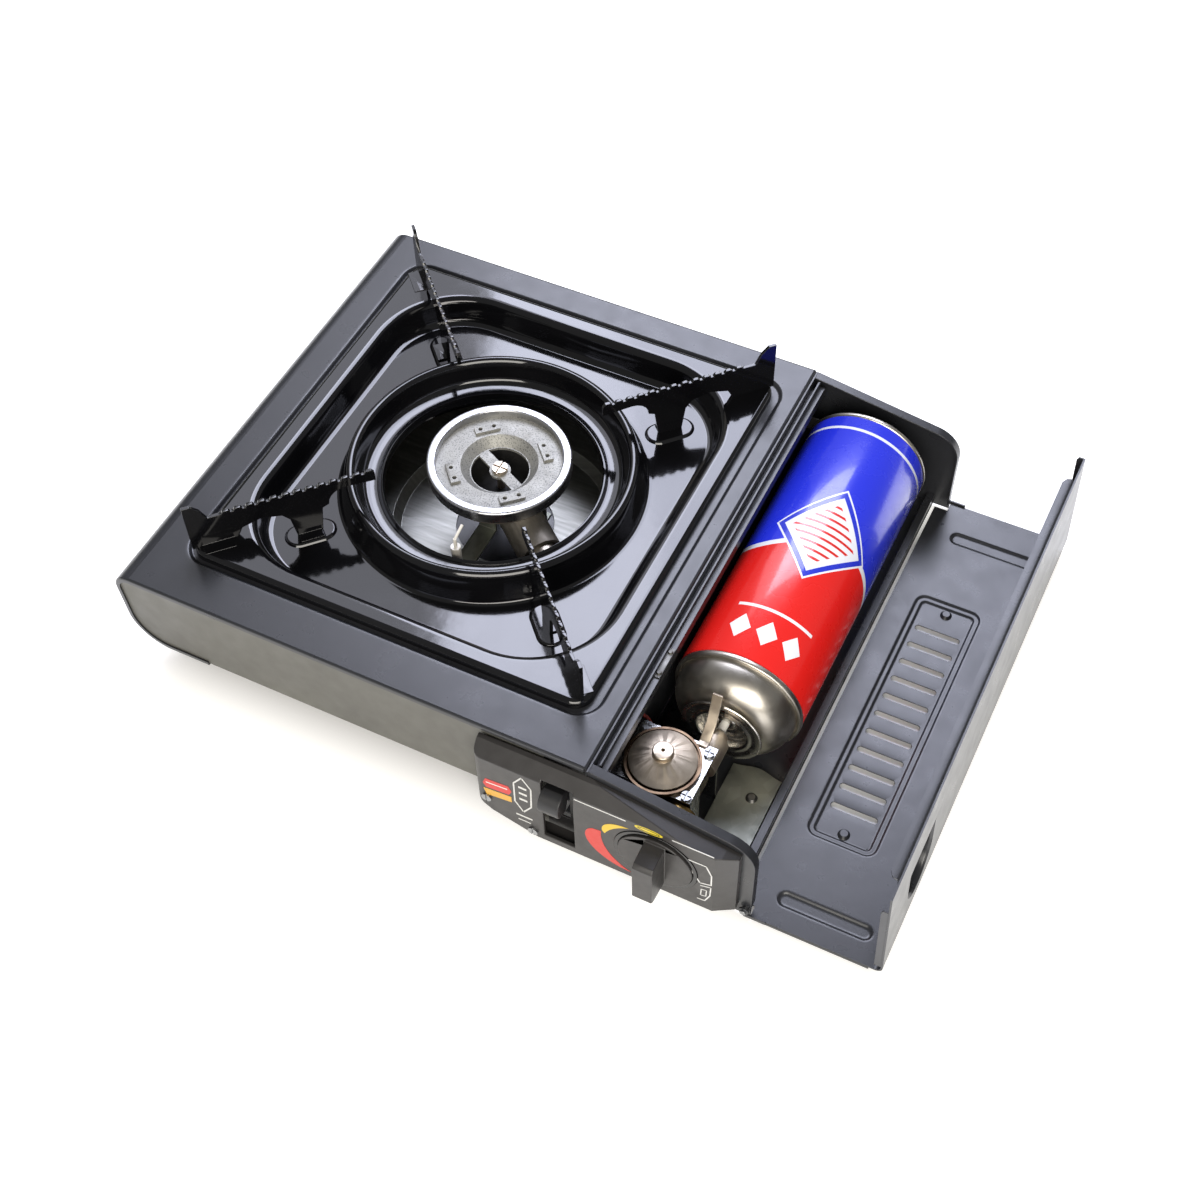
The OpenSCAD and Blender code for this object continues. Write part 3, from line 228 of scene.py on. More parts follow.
ACROSS = (1, 18, 1)
MATERIALS = {
    # Powder coat baked on pressed steel: satin black whose fine orange peel spreads each highlight.
    "case_paint": finish("satin_black_powder_coat", ("#28292c", "#2f3033"), 60, (0.26, 0.33), ior=1.5,
                         relief=((1.6, 0.006, EVEN), (14, 0.05, EVEN)), roughness_mm=12),
    # Stoved paint on pressed steel: brown grey and flatter than the case, with a fine grain, and a painted shade
    # behind the lever's slot.
    "panel_paint": finish("brown_grey_stoved_paint", ("#53524c", "#5d5c55"), 45, (0.42, 0.55), ior=1.5,
                          relief=((0.9, 0.008, EVEN),), roughness_mm=8, draw=painted_slot_shade),
    # Vitreous enamel fired on steel: deep gloss black that pulls slightly wavy as it melts.
    "pan_enamel": finish("fired_black_enamel", ("#08080a", "#0f0f11"), 50, (0.06, 0.11), ior=1.58,
                         relief=((2.5, 0.004, EVEN), (16, 0.05, EVEN)), roughness_mm=18),
    # Hot-dip galvanised steel: dull grey green with crystals a few millimetres across.
    "zinc_sheet": finish("galvanised_steel", ("#8f9188", "#a0a298"), 15, (0.42, 0.55), metallic=1.0, draw=spangle,
                         relief=((1.2, 0.004, EVEN),), roughness_mm=5),
    # Cold-rolled steel, dulled by heat: a soft grey mirror with faint rolling lines.
    "bright_sheet": finish("dulled_rolled_steel", ("#858580", "#989893"), 30, (0.36, 0.48), metallic=1.0,
                           relief=((0.7, 0.003, (1, 12, 1)), (18, 0.16, EVEN)), stretch=ACROSS, roughness_mm=20),
    # Bright-dipped zinc on sheet steel: almost white, with a soft gloss.
    "bracket": finish("bright_dipped_zinc", ("#c8c9c9", "#d9d9d8"), 20, (0.16, 0.30), metallic=1.0,
                      relief=((0.7, 0.003, (1, 12, 1)),), stretch=ACROSS, roughness_mm=12),
    # Cast aluminium made nearly black and matt, inside the burner.
    "hollow_black": finish("near_black_cast_aluminium", ("#141312", "#1f1d1b"), 5, (0.7, 0.85), ior=1.5,
                   relief=((1.0, 0.04, EVEN),)),
    # Zinc plated fasteners: bright and slightly grey.
    "fastener_steel": finish("zinc_plated_steel", ("#8f9193", "#a8a9aa"), 3, (0.25, 0.42), metallic=1.0,
                             relief=((0.4, 0.004, EVEN),)),
    # Turned and buffed aluminium: a soft bright ring.
    "polished_aluminium": finish("buffed_aluminium", ("#b9babd", "#c9c9ca"), 9, (0.24, 0.36), metallic=1.0,
                                 relief=((0.5, 0.002, EVEN),)),
    # Heat proof aluminium paint sprayed on steel: pale satin with pin specks.
    "sprayed_aluminium": finish("sprayed_aluminium_paint", ("#979690", "#a5a49d"), 8, (0.48, 0.6), metallic=0.55,
                                draw=spray_specks, relief=((0.7, 0.02, EVEN),)),
    # Sand-cast aluminium: warm dull grey with a coarse skin.
    "cast_aluminium": finish("sand_cast_aluminium", ("#77726a", "#8b857b"), 6, (0.45, 0.62), metallic=0.8,
                             relief=((1.0, 0.05, EVEN), (5, 0.08, EVEN))),
    # Drawn steel tube: brownish grey with a fine grain.
    "tube_steel": finish("drawn_steel_tube", ("#8c857b", "#a39c90"), 10, (0.28, 0.42), metallic=1.0,
                         relief=((0.6, 0.006, EVEN),)),
    # Passivated zinc die casting: silver turning to bronze in patches.
    "governor_metal": finish("passivated_zinc_casting", ("#b5a897", "#d0c4b2"), 7, (0.36, 0.5), metallic=1.0,
                             relief=((0.5, 0.006, EVEN),)),
    # Zinc die casting browned by a thick chromate: dull bronze brown.
    "governor_rim": finish("browned_zinc_casting", ("#5f4e40", "#7b6854"), 7, (0.30, 0.45), metallic=1.0,
                           relief=((0.5, 0.006, EVEN),)),
    # Turned brass: warm yellow with a thin tarnish.
    "brass": finish("turned_brass", ("#8d7448", "#a58a58"), 5, (0.28, 0.42), metallic=1.0,
                    relief=((0.4, 0.003, EVEN),)),
    # Drawn copper alloy pipe: browner than the brass.
    "copper_pipe": finish("drawn_copper_pipe", ("#9c7348", "#b98f5e"), 8, (0.25, 0.4), metallic=1.0,
                          relief=((0.5, 0.003, EVEN),)),
    # Glazed alumina: cream white with a clear glaze.
    "ceramic": finish("glazed_alumina", ("#ddd8cc", "#ece8de"), 6, (0.12, 0.22), ior=1.6,
                      relief=((1.5, 0.01, EVEN),)),
    # Moulded nylon of the igniter's housing and the lever's cap: satin black.
    "igniter_plastic": finish("moulded_black_nylon", ("#19191a", "#222223"), 12, (0.40, 0.5), ior=1.5,
                              relief=((0.5, 0.006, EVEN),)),
    # Extruded silicone sleeve on the ignition lead: matt red brown.
    "lead_sleeve": finish("silicone_lead_sleeve", ("#7d2b27", "#97352f"), 4, (0.5, 0.65), ior=1.45,
                          relief=((0.5, 0.03, EVEN),)),
    # Moulded flame-proof ABS: charcoal with a spark-eroded grain of half a millimetre.
    "panel_plastic": finish("moulded_charcoal_abs", ("#282625", "#302e2d"), 25, (0.34, 0.44), ior=1.5,
                            relief=((0.45, 0.012, EVEN),), roughness_mm=6),
    # Injection moulded ring, polished in the mould: gloss black.
    "ring_plastic": finish("gloss_black_abs", ("#070708", "#0d0d0e"), 10, (0.12, 0.2), ior=1.5,
                           relief=((2, 0.005, EVEN),)),
    # Moulded rubber: matt and slightly dusty.
    "foot_rubber": finish("moulded_black_rubber", ("#1b1b1c", "#262627"), 6, (0.62, 0.78), ior=1.5,
                          relief=((0.6, 0.02, EVEN),)),
    # Lithographed tinplate: ink under a clear gloss varnish.
    "can_print": finish("varnished_printed_tinplate", ("#ffffff", "#ffffff"), 20, (0.24, 0.30), ior=1.5,
                        coat=0.6, coat_roughness=0.08, draw=can_print, relief=((1.8, 0.002, EVEN),)),
    # Bare tinplate, drawn and seamed: soft warm silver on the dome and the seams.
    "can_tinplate": finish("drawn_tinplate", ("#b4aea3", "#c6c1b7"), 12, (0.30, 0.40), metallic=1.0,
                           relief=((0.9, 0.003, EVEN),)),
    # The same tinplate pressed flat and left bright: the collar that the finger enters.
    "collar": finish("bright_pressed_tinplate", ("#cfccc5", "#dedbd5"), 12, (0.20, 0.30), metallic=1.0,
                     relief=((0.9, 0.003, EVEN),)),
    # Plated rivets, dull and darker grey: small dark grey dots along the bay.
    "dark_grey_steel": finish("dark_grey_steel_rivets", ("#5f5e5b", "#757470"), 9, (0.40, 0.55), metallic=1.0,
                            relief=((0.8, 0.004, EVEN),)),
    # Phosphated and oiled steel, made near black as painted shade: the lever work inside its slot stands in for the
    # slot's shadow.
    "slot_shade_steel": finish("phosphated_steel_painted_shade", ("#1d1c1b", "#292826"), 9, (0.38, 0.52), ior=1.5,
                            relief=((0.8, 0.004, EVEN),)),
    # Moulded acetal valve stem: milky white.
    "stem_plastic": finish("moulded_white_acetal", ("#e2dfd6", "#efece4"), 5, (0.34, 0.44), ior=1.48,
                           relief=((0.5, 0.004, EVEN),)),
}

# ---------- making pieces ----------


def settle(obj, body, slot, material, *nodes):
    """links a new piece, gives it its material, and puts it on its body in place of the nodes"""
    bpy.context.scene.collection.objects.link(obj)
    obj.data.materials.append(material)
    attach(obj, body)
    if nodes:
        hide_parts(*nodes)


def soften(obj, width_mm):
    """rounds the sharp edges"""
    edge = obj.modifiers.new("edges", "BEVEL")
    edge.width, edge.segments = width_mm / 1000, 2
    edge.limit_method, edge.angle_limit = "ANGLE", math.radians(32)
    edge.use_clamp_overlap = True
    edge.harden_normals = True


def thicken(obj, sheet_mm):
    """gives a surface the thickness of its sheet, on the side away from its normals, and keeps its flats flat"""
    sheet = obj.modifiers.new("sheet", "SOLIDIFY")
    sheet.thickness, sheet.offset = sheet_mm / 1000, -1
    obj.modifiers.new("rims", "EDGE_SPLIT").split_angle = math.radians(48)
    flats = obj.modifiers.new("flats", "WEIGHTED_NORMAL")
    flats.mode, flats.weight, flats.keep_sharp = "FACE_AREA", 80, True


def mesh_object(name, bm, sharp):
    """an object from a mesh, smooth but for edges sharper than the angle"""
    bmesh.ops.remove_doubles(bm, verts=bm.verts, dist=2e-6)
    mesh = bpy.data.meshes.new(name)
    bm.to_mesh(mesh)
    bm.free()
    mesh.shade_smooth()
    mesh.set_sharp_from_angle(angle=math.radians(sharp))
    return bpy.data.objects.new(name, mesh)


def dressed(node, width_mm, material):
    """the node's own shape with its edges softened, in place of the node"""
    bm = bmesh.new()
    bm.from_mesh(frame["nodes"][node].data)
    bmesh.ops.remove_doubles(bm, verts=bm.verts, dist=2e-6)
    bmesh.ops.dissolve_limit(bm, angle_limit=math.radians(0.4), verts=bm.verts, edges=bm.edges)
    obj = mesh_object(node + "_finished", bm, 32)
    settle(obj, BODY_OF[node], SLOT_OF[node], material or MATERIALS[SLOT_OF[node]], node)
    soften(obj, width_mm)


def loft(bm, rings, closed=True):
    """joins rings of points, in millimetres, with faces"""
    rows = [[bm.verts.new(at(*p)) for p in ring] for ring in rings]
    for a, b in zip(rows, rows[1:]):
        count = len(a)
        for i in range(count if closed else count - 1):
            j = (i + 1) % count
            bm.faces.new((a[i], b[i], b[j], a[j]))
    return rows


def face_towards(bm, way):
    """turns every separate sheet so that most of it faces the given way"""
    bmesh.ops.remove_doubles(bm, verts=bm.verts, dist=2e-6)
    bmesh.ops.recalc_face_normals(bm, faces=bm.faces)
    left = set(bm.faces)
    while left:
        sheet, front = set(), [left.pop()]
        while front:
            face = front.pop()
            sheet.add(face)
            for edge in face.edges:
                for other in edge.link_faces:
                    if other in left:
                        left.discard(other)
                        front.append(other)
        if sum(face.normal.dot(way) * face.calc_area() for face in sheet) < 0:
            bmesh.ops.reverse_faces(bm, faces=list(sheet))


def cap(bm, row):
    """closes a row of corners with one face"""
    bm.faces.new(row)


def rounded(cx, cy, w, d, r, z, straight=16, arc=20):
    """a rounded rectangle, anticlockwise from the middle of its right side"""
    corners = [(1, 1, 0), (-1, 1, 90), (-1, -1, 180), (1, -1, 270)]
    points = []
    for sx, sy, start in corners:
        mx, my = cx + sx * (w / 2 - r), cy + sy * (d / 2 - r)
        first = (cx + sx * w / 2, cy) if start in (0, 180) else (cx, cy + sy * d / 2)
        a0 = math.radians(start)
        begin = (mx + r * math.cos(a0), my + r * math.sin(a0))
        for i in range(straight):
            t = i / straight
            points.append((first[0] + (begin[0] - first[0]) * t, first[1] + (begin[1] - first[1]) * t, z))
        for i in range(arc):
            a = a0 + math.pi / 2 * i / arc
            points.append((mx + r * math.cos(a), my + r * math.sin(a), z))
        a = a0 + math.pi / 2
        end = (mx + r * math.cos(a), my + r * math.sin(a))
        last = (cx, cy + sy * d / 2) if start in (0, 180) else (cx + sx * w / 2, cy)
        for i in range(straight):
            t = i / straight
            points.append((end[0] + (last[0] - end[0]) * t, end[1] + (last[1] - end[1]) * t, z))
    return points


def circle_like(ring, cx, cy, r, z):
    """a circle whose points lie at the angles of another ring's points"""
    out = []
    for x, y, _ in ring:
        a = math.atan2(y - cy, x - cx)
        out.append((cx + r * math.cos(a), cy + r * math.sin(a), z))
    return out


def arc(cx, cz, r, a0, a1, steps):
    return [(cx + r * math.cos(math.radians(a0 + (a1 - a0) * i / steps)),
             cz + r * math.sin(math.radians(a0 + (a1 - a0) * i / steps))) for i in range(steps + 1)]


def lathe_y(bm, cx, cz, profile, steps=160):
    """turns a profile of (radius, y) about an axis that runs front to back"""
    rings = [[(cx + r * math.sin(TAU * i / steps), y, cz + r * math.cos(TAU * i / steps)) for i in range(steps)]
             for r, y in profile]
    return loft(bm, rings)


def block(bm, low, high):
    """a box between two corners"""
    c = [[[bm.verts.new(at(x, y, z)) for z in (low[2], high[2])] for y in (low[1], high[1])]
         for x in (low[0], high[0])]
    for quad in ((c[0][0][0], c[0][1][0], c[1][1][0], c[1][0][0]), (c[0][0][1], c[1][0][1], c[1][1][1], c[0][1][1]),
                 (c[0][0][0], c[1][0][0], c[1][0][1], c[0][0][1]), (c[0][1][0], c[0][1][1], c[1][1][1], c[1][1][0]),
                 (c[0][0][0], c[0][0][1], c[0][1][1], c[0][1][0]), (c[1][0][0], c[1][1][0], c[1][1][1], c[1][0][1])):
        bm.faces.new(quad)


def prism(bm, outline, y0, y1):
    """an outline in (x, z) drawn out from y0 to y1"""
    sides = [[bm.verts.new(at(x, y, z)) for x, z in outline] for y in (y0, y1)]
    bm.faces.new(sides[0])
    bm.faces.new(sides[1][::-1])
    for i in range(len(outline)):
        j = (i + 1) % len(outline)
        bm.faces.new((sides[0][j], sides[0][i], sides[1][i], sides[1][j]))


def plate(bm, outline, y, depth):
    """a thin plate on the panel's front: outline in (x, z), its face at y, standing depth proud"""
    front = [bm.verts.new(at(x, y - depth, z)) for x, z in outline]
    back = [bm.verts.new(at(x, y, z)) for x, z in outline]
    bm.faces.new(front)
    count = len(front)
    for i in range(count):
        j = (i + 1) % count
        bm.faces.new((front[j], front[i], back[i], back[j]))


# ---------- drip pan ----------


def make_pan():
    bm = bmesh.new()

    def step(offset, z):
        corner = 9 - offset if offset < 3 else 56 - offset
        return rounded(PAN_X, PAN_Y, PAN_W - 2 * offset, PAN_D - 2 * offset, corner, z)

    rim = [(0, 70.3), (0, 72.5), (0.2, 73.2), (0.75, 73.8), (1.5, 74), (2.2, 74), (6.4, 74), (7.2, 74),
           (8.4, 73.82), (9.5, 73.2), (10.3, 72.2), (10.8, 70.9), (12.4, 64.6), (13.0, 62.9), (14.0, 61.5),
           (15.4, 60.5), (17.2, 60.04), (17.8, 60), (18.8, 60)]
    rings = [step(*p) for p in rim]
    crest = [(81.6, 60), (80.6, 60), (79.4, 60.25), (78.4, 61), (77.7, 62.4), (76.4, 67), (74.9, 72.4), (74.1, 74.9),
             (73.5, 76.2), (72.6, 76.9), (71.7, 76.95), (71.0, 76.4), (70.4, 75.2), (69.3, 71.6), (68.0, 68.0),
             (67.1, 66.2), (66.0, 65.1), (64.6, 64.5), (62.5, 64.2), (60.2, 64.05), (58.9, 64.2), (58.2, 64.7),
             (57.7, 65.4), (57.2, 65.5), (56.9, 64.9), (56.9, 61.6)]
    rings += [circle_like(rings[-1], PAN_X, PAN_Y, r, z) for r, z in crest]
    loft(bm, rings)
    obj = mesh_object("drip_pan_pressing", bm, 60)
    settle(obj, "pan", "pan_enamel", MATERIALS["pan_enamel"], "drip_pan")
    thicken(obj, 0.8)
    # raised pads under the supports' inner feet
    bm = bmesh.new()
    arm = math.atan2(PAN_D, PAN_W)
    for angle in (arm, math.pi - arm, math.pi + arm, -arm):
        cx, cy = PAN_X + 97 * math.cos(angle), PAN_Y + 97 * math.sin(angle)
        rows = []
        for grow, z in ((1.6, 59.9), (0.8, 60.3), (0, 61.4), (-0.5, 61.85), (-1.2, 62)):
            ring = rounded(0, 0, 26 + 2 * grow, 14 + 2 * grow, 7 + grow - 0.01, z, 3, 10)
            rows.append([(cx + x * math.cos(angle) - y * math.sin(angle),
                          cy + x * math.sin(angle) + y * math.cos(angle), z) for x, y, z in ring])
        made = loft(bm, rows)
        cap(bm, made[-1])
    pads = mesh_object("drip_pan_pads", bm, 60)
    settle(pads, "pan", "pan_enamel", MATERIALS["pan_enamel"])


make_pan()

# ---------- top case ----------


def make_case():
    belly_cx = CORNER_R + (BELLY_R - CORNER_R) * math.cos(WALL_LEAN) + (
        DECK_Z - BELLY_Z - CORNER_R - BELLY_R) * math.tan(WALL_LEAN)
    lean = math.degrees(WALL_LEAN)

    def side(inset):
        return (arc(CORNER_R + 0.04, DECK_Z - CORNER_R, CORNER_R - inset, 90, 180 + lean, 16)
                + arc(belly_cx, BELLY_Z + BELLY_R, BELLY_R - inset, 180 + lean, 270, 20)
                + [(WRAP_X, BELLY_Z + inset)])

    lip = [(0, 3), (0, 1.3), (0.15, 0.75), (0.5, 0.25), (1.3, 0)]
    ends = lip + [(CASE_D - y, inset) for y, inset in lip[::-1]]
    bm = bmesh.new()
    loft(bm, [[(x, y, z) for x, z in side(inset)] for y, inset in ends], closed=False)
    # deck round the pan's seat
    x0, x1, y0, y1 = CORNER_R + 0.04, DECK_W - 1.3, 1.3, CASE_D - 1.3
    rings = [rounded((x0 + x1) / 2, (y0 + y1) / 2, x1 - x0 - 2 * hem, y1 - y0 - 2 * hem, 0.001, DECK_Z)
             for hem in (0, 0.8)]
    for offset, z in ((-1.2, 72), (0, 72), (0.55, 71.88), (1.1, 71.5), (1.6, 70.7), (2.0, 70.2), (2.7, 70), (12, 70)):
        rings.append(rounded(PAN_X + 1, PAN_Y, 229 - 2 * offset, 236 - 2 * offset,
                             14 - offset if offset < 5 else 40, z))
    loft(bm, rings)
    # front and rear lips, and the right edge turned down
    for s in (0, 1):
        rows = []
        for y, inset in lip:
            yy = CASE_D - y if s else y
            rows.append([(x, yy, DECK_Z - inset) for x in (x0, x1)])
        if s:
            rows.reverse()
        loft(bm, rows, closed=False)
    rows = []
    for x, z in ((x1, DECK_Z), (DECK_W - 0.5, DECK_Z - 0.25), (DECK_W - 0.15, DECK_Z - 0.75),
                 (DECK_W, DECK_Z - 1.3), (DECK_W, 62)):
        rows.append([(x, y, z) for y in (0.6, CASE_D - 0.6)])
    loft(bm, rows, closed=False)
    bmesh.ops.recalc_face_normals(bm, faces=bm.faces)
    obj = mesh_object("top_case_pressing", bm, 60)
    settle(obj, "stove", "case_paint", MATERIALS["case_paint"], "top_case")
    thicken(obj, 0.8)


make_case()

# ---------- cartridge ----------


def make_cartridge():
    bm = bmesh.new()
    lathe_y(bm, CAN_X, CAN_Z, [
        (CAN_R - 0.5, CAN_Y0), (CAN_R, CAN_Y0 + 1), (CAN_R, CAN_Y1 - 1), (CAN_R - 0.5, CAN_Y1)])
    settle(mesh_object("cartridge_printed_body", bm, 60), "cartridge", "can_print", MATERIALS["can_print"],
           "cartridge_body")
    bm = bmesh.new()
    seam = [(CAN_R - 0.7, CAN_Y0 + 0.2), (CAN_R + 0.05, CAN_Y0 - 0.1), (CAN_R + 0.25, CAN_Y0 - 0.6),
            (CAN_R + 0.25, CAN_Y0 - 2.0), (CAN_R, CAN_Y0 - 2.7), (CAN_R - 0.8, CAN_Y0 - 3.1),
            (CAN_R - 1.5, CAN_Y0 - 2.9), (CAN_R - 1.9, CAN_Y0 - 2.2), (CAN_R - 2.3, CAN_Y0 - 2.6)]
    dome = [(15.5 + 15.4 * math.cos(a), CAN_Y0 - 4 - 15.6 * math.sin(a)) for a in
            [math.radians(4 + 76 * i / 14) for i in range(15)]]
    neck = [(17.2, CAN_Y0 - 19.9), (16.0, CAN_Y0 - 20), (14.6, CAN_Y0 - 20), (13.8, CAN_Y0 - 19.7),
            (13.5, CAN_Y0 - 18.5)]
    lathe_y(bm, CAN_X, CAN_Z, seam + dome + neck)
    bmesh.ops.recalc_face_normals(bm, faces=bm.faces)
    settle(mesh_object("cartridge_dome", bm, 60), "cartridge", "can_tinplate", MATERIALS["can_tinplate"],
           "cartridge_shoulder")
    bm = bmesh.new()
    rows = lathe_y(bm, CAN_X, CAN_Z, [
        (CAN_R - 0.7, CAN_Y1 - 0.2), (CAN_R + 0.05, CAN_Y1 + 0.1), (CAN_R + 0.25, CAN_Y1 + 0.6),
        (CAN_R + 0.25, CAN_Y1 + 1.6), (CAN_R - 0.1, CAN_Y1 + 2.2), (CAN_R - 0.9, CAN_Y1 + 2.4),
        (CAN_R - 1.7, CAN_Y1 + 2.1), (CAN_R - 2.2, CAN_Y1 + 1), (CAN_R - 3, CAN_Y1 - 1.6), (CAN_R - 5, CAN_Y1 - 2.4),
        (20, CAN_Y1 - 5), (8, CAN_Y1 - 6.8), (0.5, CAN_Y1 - 7)])
    cap(bm, rows[-1])
    bmesh.ops.recalc_face_normals(bm, faces=bm.faces)
    settle(mesh_object("cartridge_bottom", bm, 60), "cartridge", "can_tinplate", MATERIALS["can_tinplate"],
           "cartridge_base")
    # valve cup and its flat collar with rolled edges, open at the notch
    bm = bmesh.new()
    lathe_y(bm, CAN_X, CAN_Z, [
        (2.4, 71.5), (4.6, 71.5), (5.2, 71.8), (5.9, 73.0), (7.6, 73.1), (8.2, 72.6), (9.2, 72.6), (9.8, 73.1),
        (12.0, 73.1), (12.5, 72.7), (12.6, 67.5), (12.9, 66.8), (13.6, 66.5), (14.8, 66.5), (15.4, 66.9),
        (16.4, 66.9), (17.0, 66.5), (20.0, 66.5), (20.7, 66.65), (21.0, 67.1), (20.7, 67.55), (20.0, 67.7),
        (13.8, 67.7), (13.6, 68.2), (13.5, 74.0)])
    left, right, low = at(CAN_X - 5.2, 0, 0).x, at(CAN_X + 1.2, 0, 0).x, (CAN_Z + 13.4) / 1000
    gone = [face for face in bm.faces if left < face.calc_center_median().x < right
            and face.calc_center_median().z > low]
    bmesh.ops.delete(bm, geom=gone, context="FACES")
    settle(mesh_object("cartridge_valve_cup", bm, 50), "cartridge", "can_tinplate", MATERIALS["collar"],
           "cartridge_collar")


make_cartridge()

# ---------- lid ----------


def make_lid():
    bm = bmesh.new()
    x0, x1 = LID_X, FOLD_X - 0.8
    mid, wide = (x0 + x1) / 2, x1 - x0
    z = LID_Z

    def flat(y0, y1):
        loft(bm, [[(x0, y0, z), (x1, y0, z)], [(x0, y1, z), (x1, y1, z)]], closed=False)

    def rib(y0, y1, cy):
        rings = [rounded(mid, (y0 + y1) / 2, wide, y1 - y0, 0.001, z, 4, 8)]
        for offset, drop in ((-0.8, 0), (0, 0), (0.5, 0.12), (1.1, 0.7), (1.7, 1.05), (2.4, 1.1), (3, 1.1)):
            rings.append(rounded(RIB_X, cy, 48 - 2 * offset, 9 - 2 * offset, 4.49 - offset, z - drop, 4, 8))
        made = loft(bm, rings)
        cap(bm, made[-1])

    # the slotted panel: a sunk frame round a second step, then a row of cells with a slot in each
    px, py = SLOTS_X, SLOTS_Y
    rings = [rounded(mid, py, wide, 176, 0.001, z, 6, 8)]
    for offset, drop in ((-0.8, 0), (0, 0), (0.4, 0.15), (0.9, 0.62), (1.4, 0.75), (1.7, 0.75), (2.7, 0.75),
                         (3.0, 0.75), (3.4, 0.85), (3.9, 1.3), (4.4, 1.4), (4.7, 1.4)):
        rings.append(rounded(px, py, 36 - 2 * offset, 160 - 2 * offset, 6 - offset if offset < 4 else 6.2 - offset,
                             z - drop, 6, 8))
    loft(bm, rings)
    low = z - 1.4
    in_w, in_d = 36 - 9.4, 160 - 9.4
    pitch, count = 11.8, 11
    first = py - pitch * count / 2
    rows = [[(px - in_w / 2, first, low), (px + in_w / 2, first, low)],
            [(px - in_w / 2, py - in_d / 2, low), (px + in_w / 2, py - in_d / 2, low)]]
    loft(bm, rows[::-1], closed=False)
    last = py + pitch * count / 2
    loft(bm, [[(px - in_w / 2, last, low), (px + in_w / 2, last, low)],
              [(px - in_w / 2, py + in_d / 2, low), (px + in_w / 2, py + in_d / 2, low)]], closed=False)
    for i in range(count):
        cy = first + pitch * (i + 0.5)
        loft(bm, [rounded(px, cy, in_w, pitch, 0.001, low, 3, 8), rounded(px, cy, 24.4, 3.8, 1.89, low, 3, 8),
                  rounded(px, cy, 24, 3.2, 1.59, low - 0.3, 3, 8)])
    flat(LID_Y0, 6)
    rib(6, 22, 14)
    flat(22, py - 88)
    flat(py + 88, 246)
    rib(246, 262, 254)
    flat(262, LID_Y1)
    # the strip between the case's end walls
    loft(bm, [[(TUCK_X, 4.6, z), (x0, 4.6, z)], [(TUCK_X, 270.4, z), (x0, 270.4, z)]], closed=False)
    loft(bm, [[(x1, y, z), (FOLD_X, y, z)] for y in (LID_Y0, LID_Y1)], closed=False)
    # the fold and the leaf, up to a thumb pocket and on past it
    bend = arc(FOLD_X, z + 3, 3, 270, 360 + math.degrees(LEAF_LEAN), 8)
    loft(bm, [[(x, y, zz) for x, zz in bend] for y in (LID_Y0, LID_Y1)], closed=False)
    low_v, high_v, near_y, far_y = 0, 46, 20, 68

    def panel(y0, y1, v0, v1):
        loft(bm, [[leaf(3, y, v) for v in (v0, v1)] for y in (y0, y1)], closed=False)

    panel(LID_Y0, near_y, low_v, high_v)
    panel(far_y, LID_Y1, low_v, high_v)
    panel(LID_Y0, LID_Y1, high_v, LEAF_LEN - 1.2)
    angles = [TAU * (i + 0.5) / 96 for i in range(96)]
    frame_ring = [min(24 / max(abs(math.cos(a)), 1e-6), 23 / max(abs(math.sin(a)), 1e-6)) for a in angles]
    corners = [(near_y, low_v), (far_y, low_v), (far_y, high_v), (near_y, high_v)]
    outer = []
    for a, run in zip(angles, frame_ring):
        y, v = POCKET_Y + run * math.cos(a), POCKET_V + run * math.sin(a)
        snap = min(corners, key=lambda c: math.hypot(c[0] - y, c[1] - v))
        outer.append(snap if math.hypot(snap[0] - y, snap[1] - v) < 0.9 else (y, v))
    rings = [[leaf(3, y, v) for y, v in outer]]
    for inset, deep in ((0, 0), (0.15, 0.5), (0.4, 1.0), (0.5, 4.2), (0.8, 4.8), (1.6, 5.0)):
        rings.append([leaf(3 - deep, *pocket_edge(a, inset)) for a in angles])
    made = loft(bm, rings)
    cap(bm, made[-1])
    # the edge along the leaf's top, turned in with cut corners
    top = [(3, LEAF_LEN - 1.2), (2.7, LEAF_LEN - 0.35), (1.8, LEAF_LEN)]
    loft(bm, [[leaf(u, y, v) for u, v in top] for y in (9, 259)], closed=False)
    loft(bm, [[leaf(1.8, y, LEAF_LEN) for y in (9, 259)], [leaf(-0.4, y, LEAF_LEN) for y in (9.6, 258.4)],
              [leaf(-2, y, LEAF_LEN) for y in (12.6, 255.4)]], closed=False)
    return bm


def leaf(u, y, v):
    """a place on the lid's leaf: u outwards from the fold's centre, v up along the leaf"""
    c, s = math.cos(LEAF_LEAN), math.sin(LEAF_LEAN)
    return (FOLD_X + u * c - v * s, y, LID_Z + 3 + u * s + v * c)


def pocket_edge(angle, inset):
    """the thumb pocket's outline seen from its middle: a half circle below, square above"""
    c, s = math.cos(angle), math.sin(angle)
    half, top = POCKET_R - inset, 39 - inset
    run = half / max(abs(c), 1e-6)
    if s > 0:
        run = min(run, (top - POCKET_V) / s)
    elif run * s < -1:
        # the half circle's centre lies 1 below
        run = -s + math.sqrt(max(s * s - 1 + half * half, 0))
    return POCKET_Y + run * c, POCKET_V + run * s


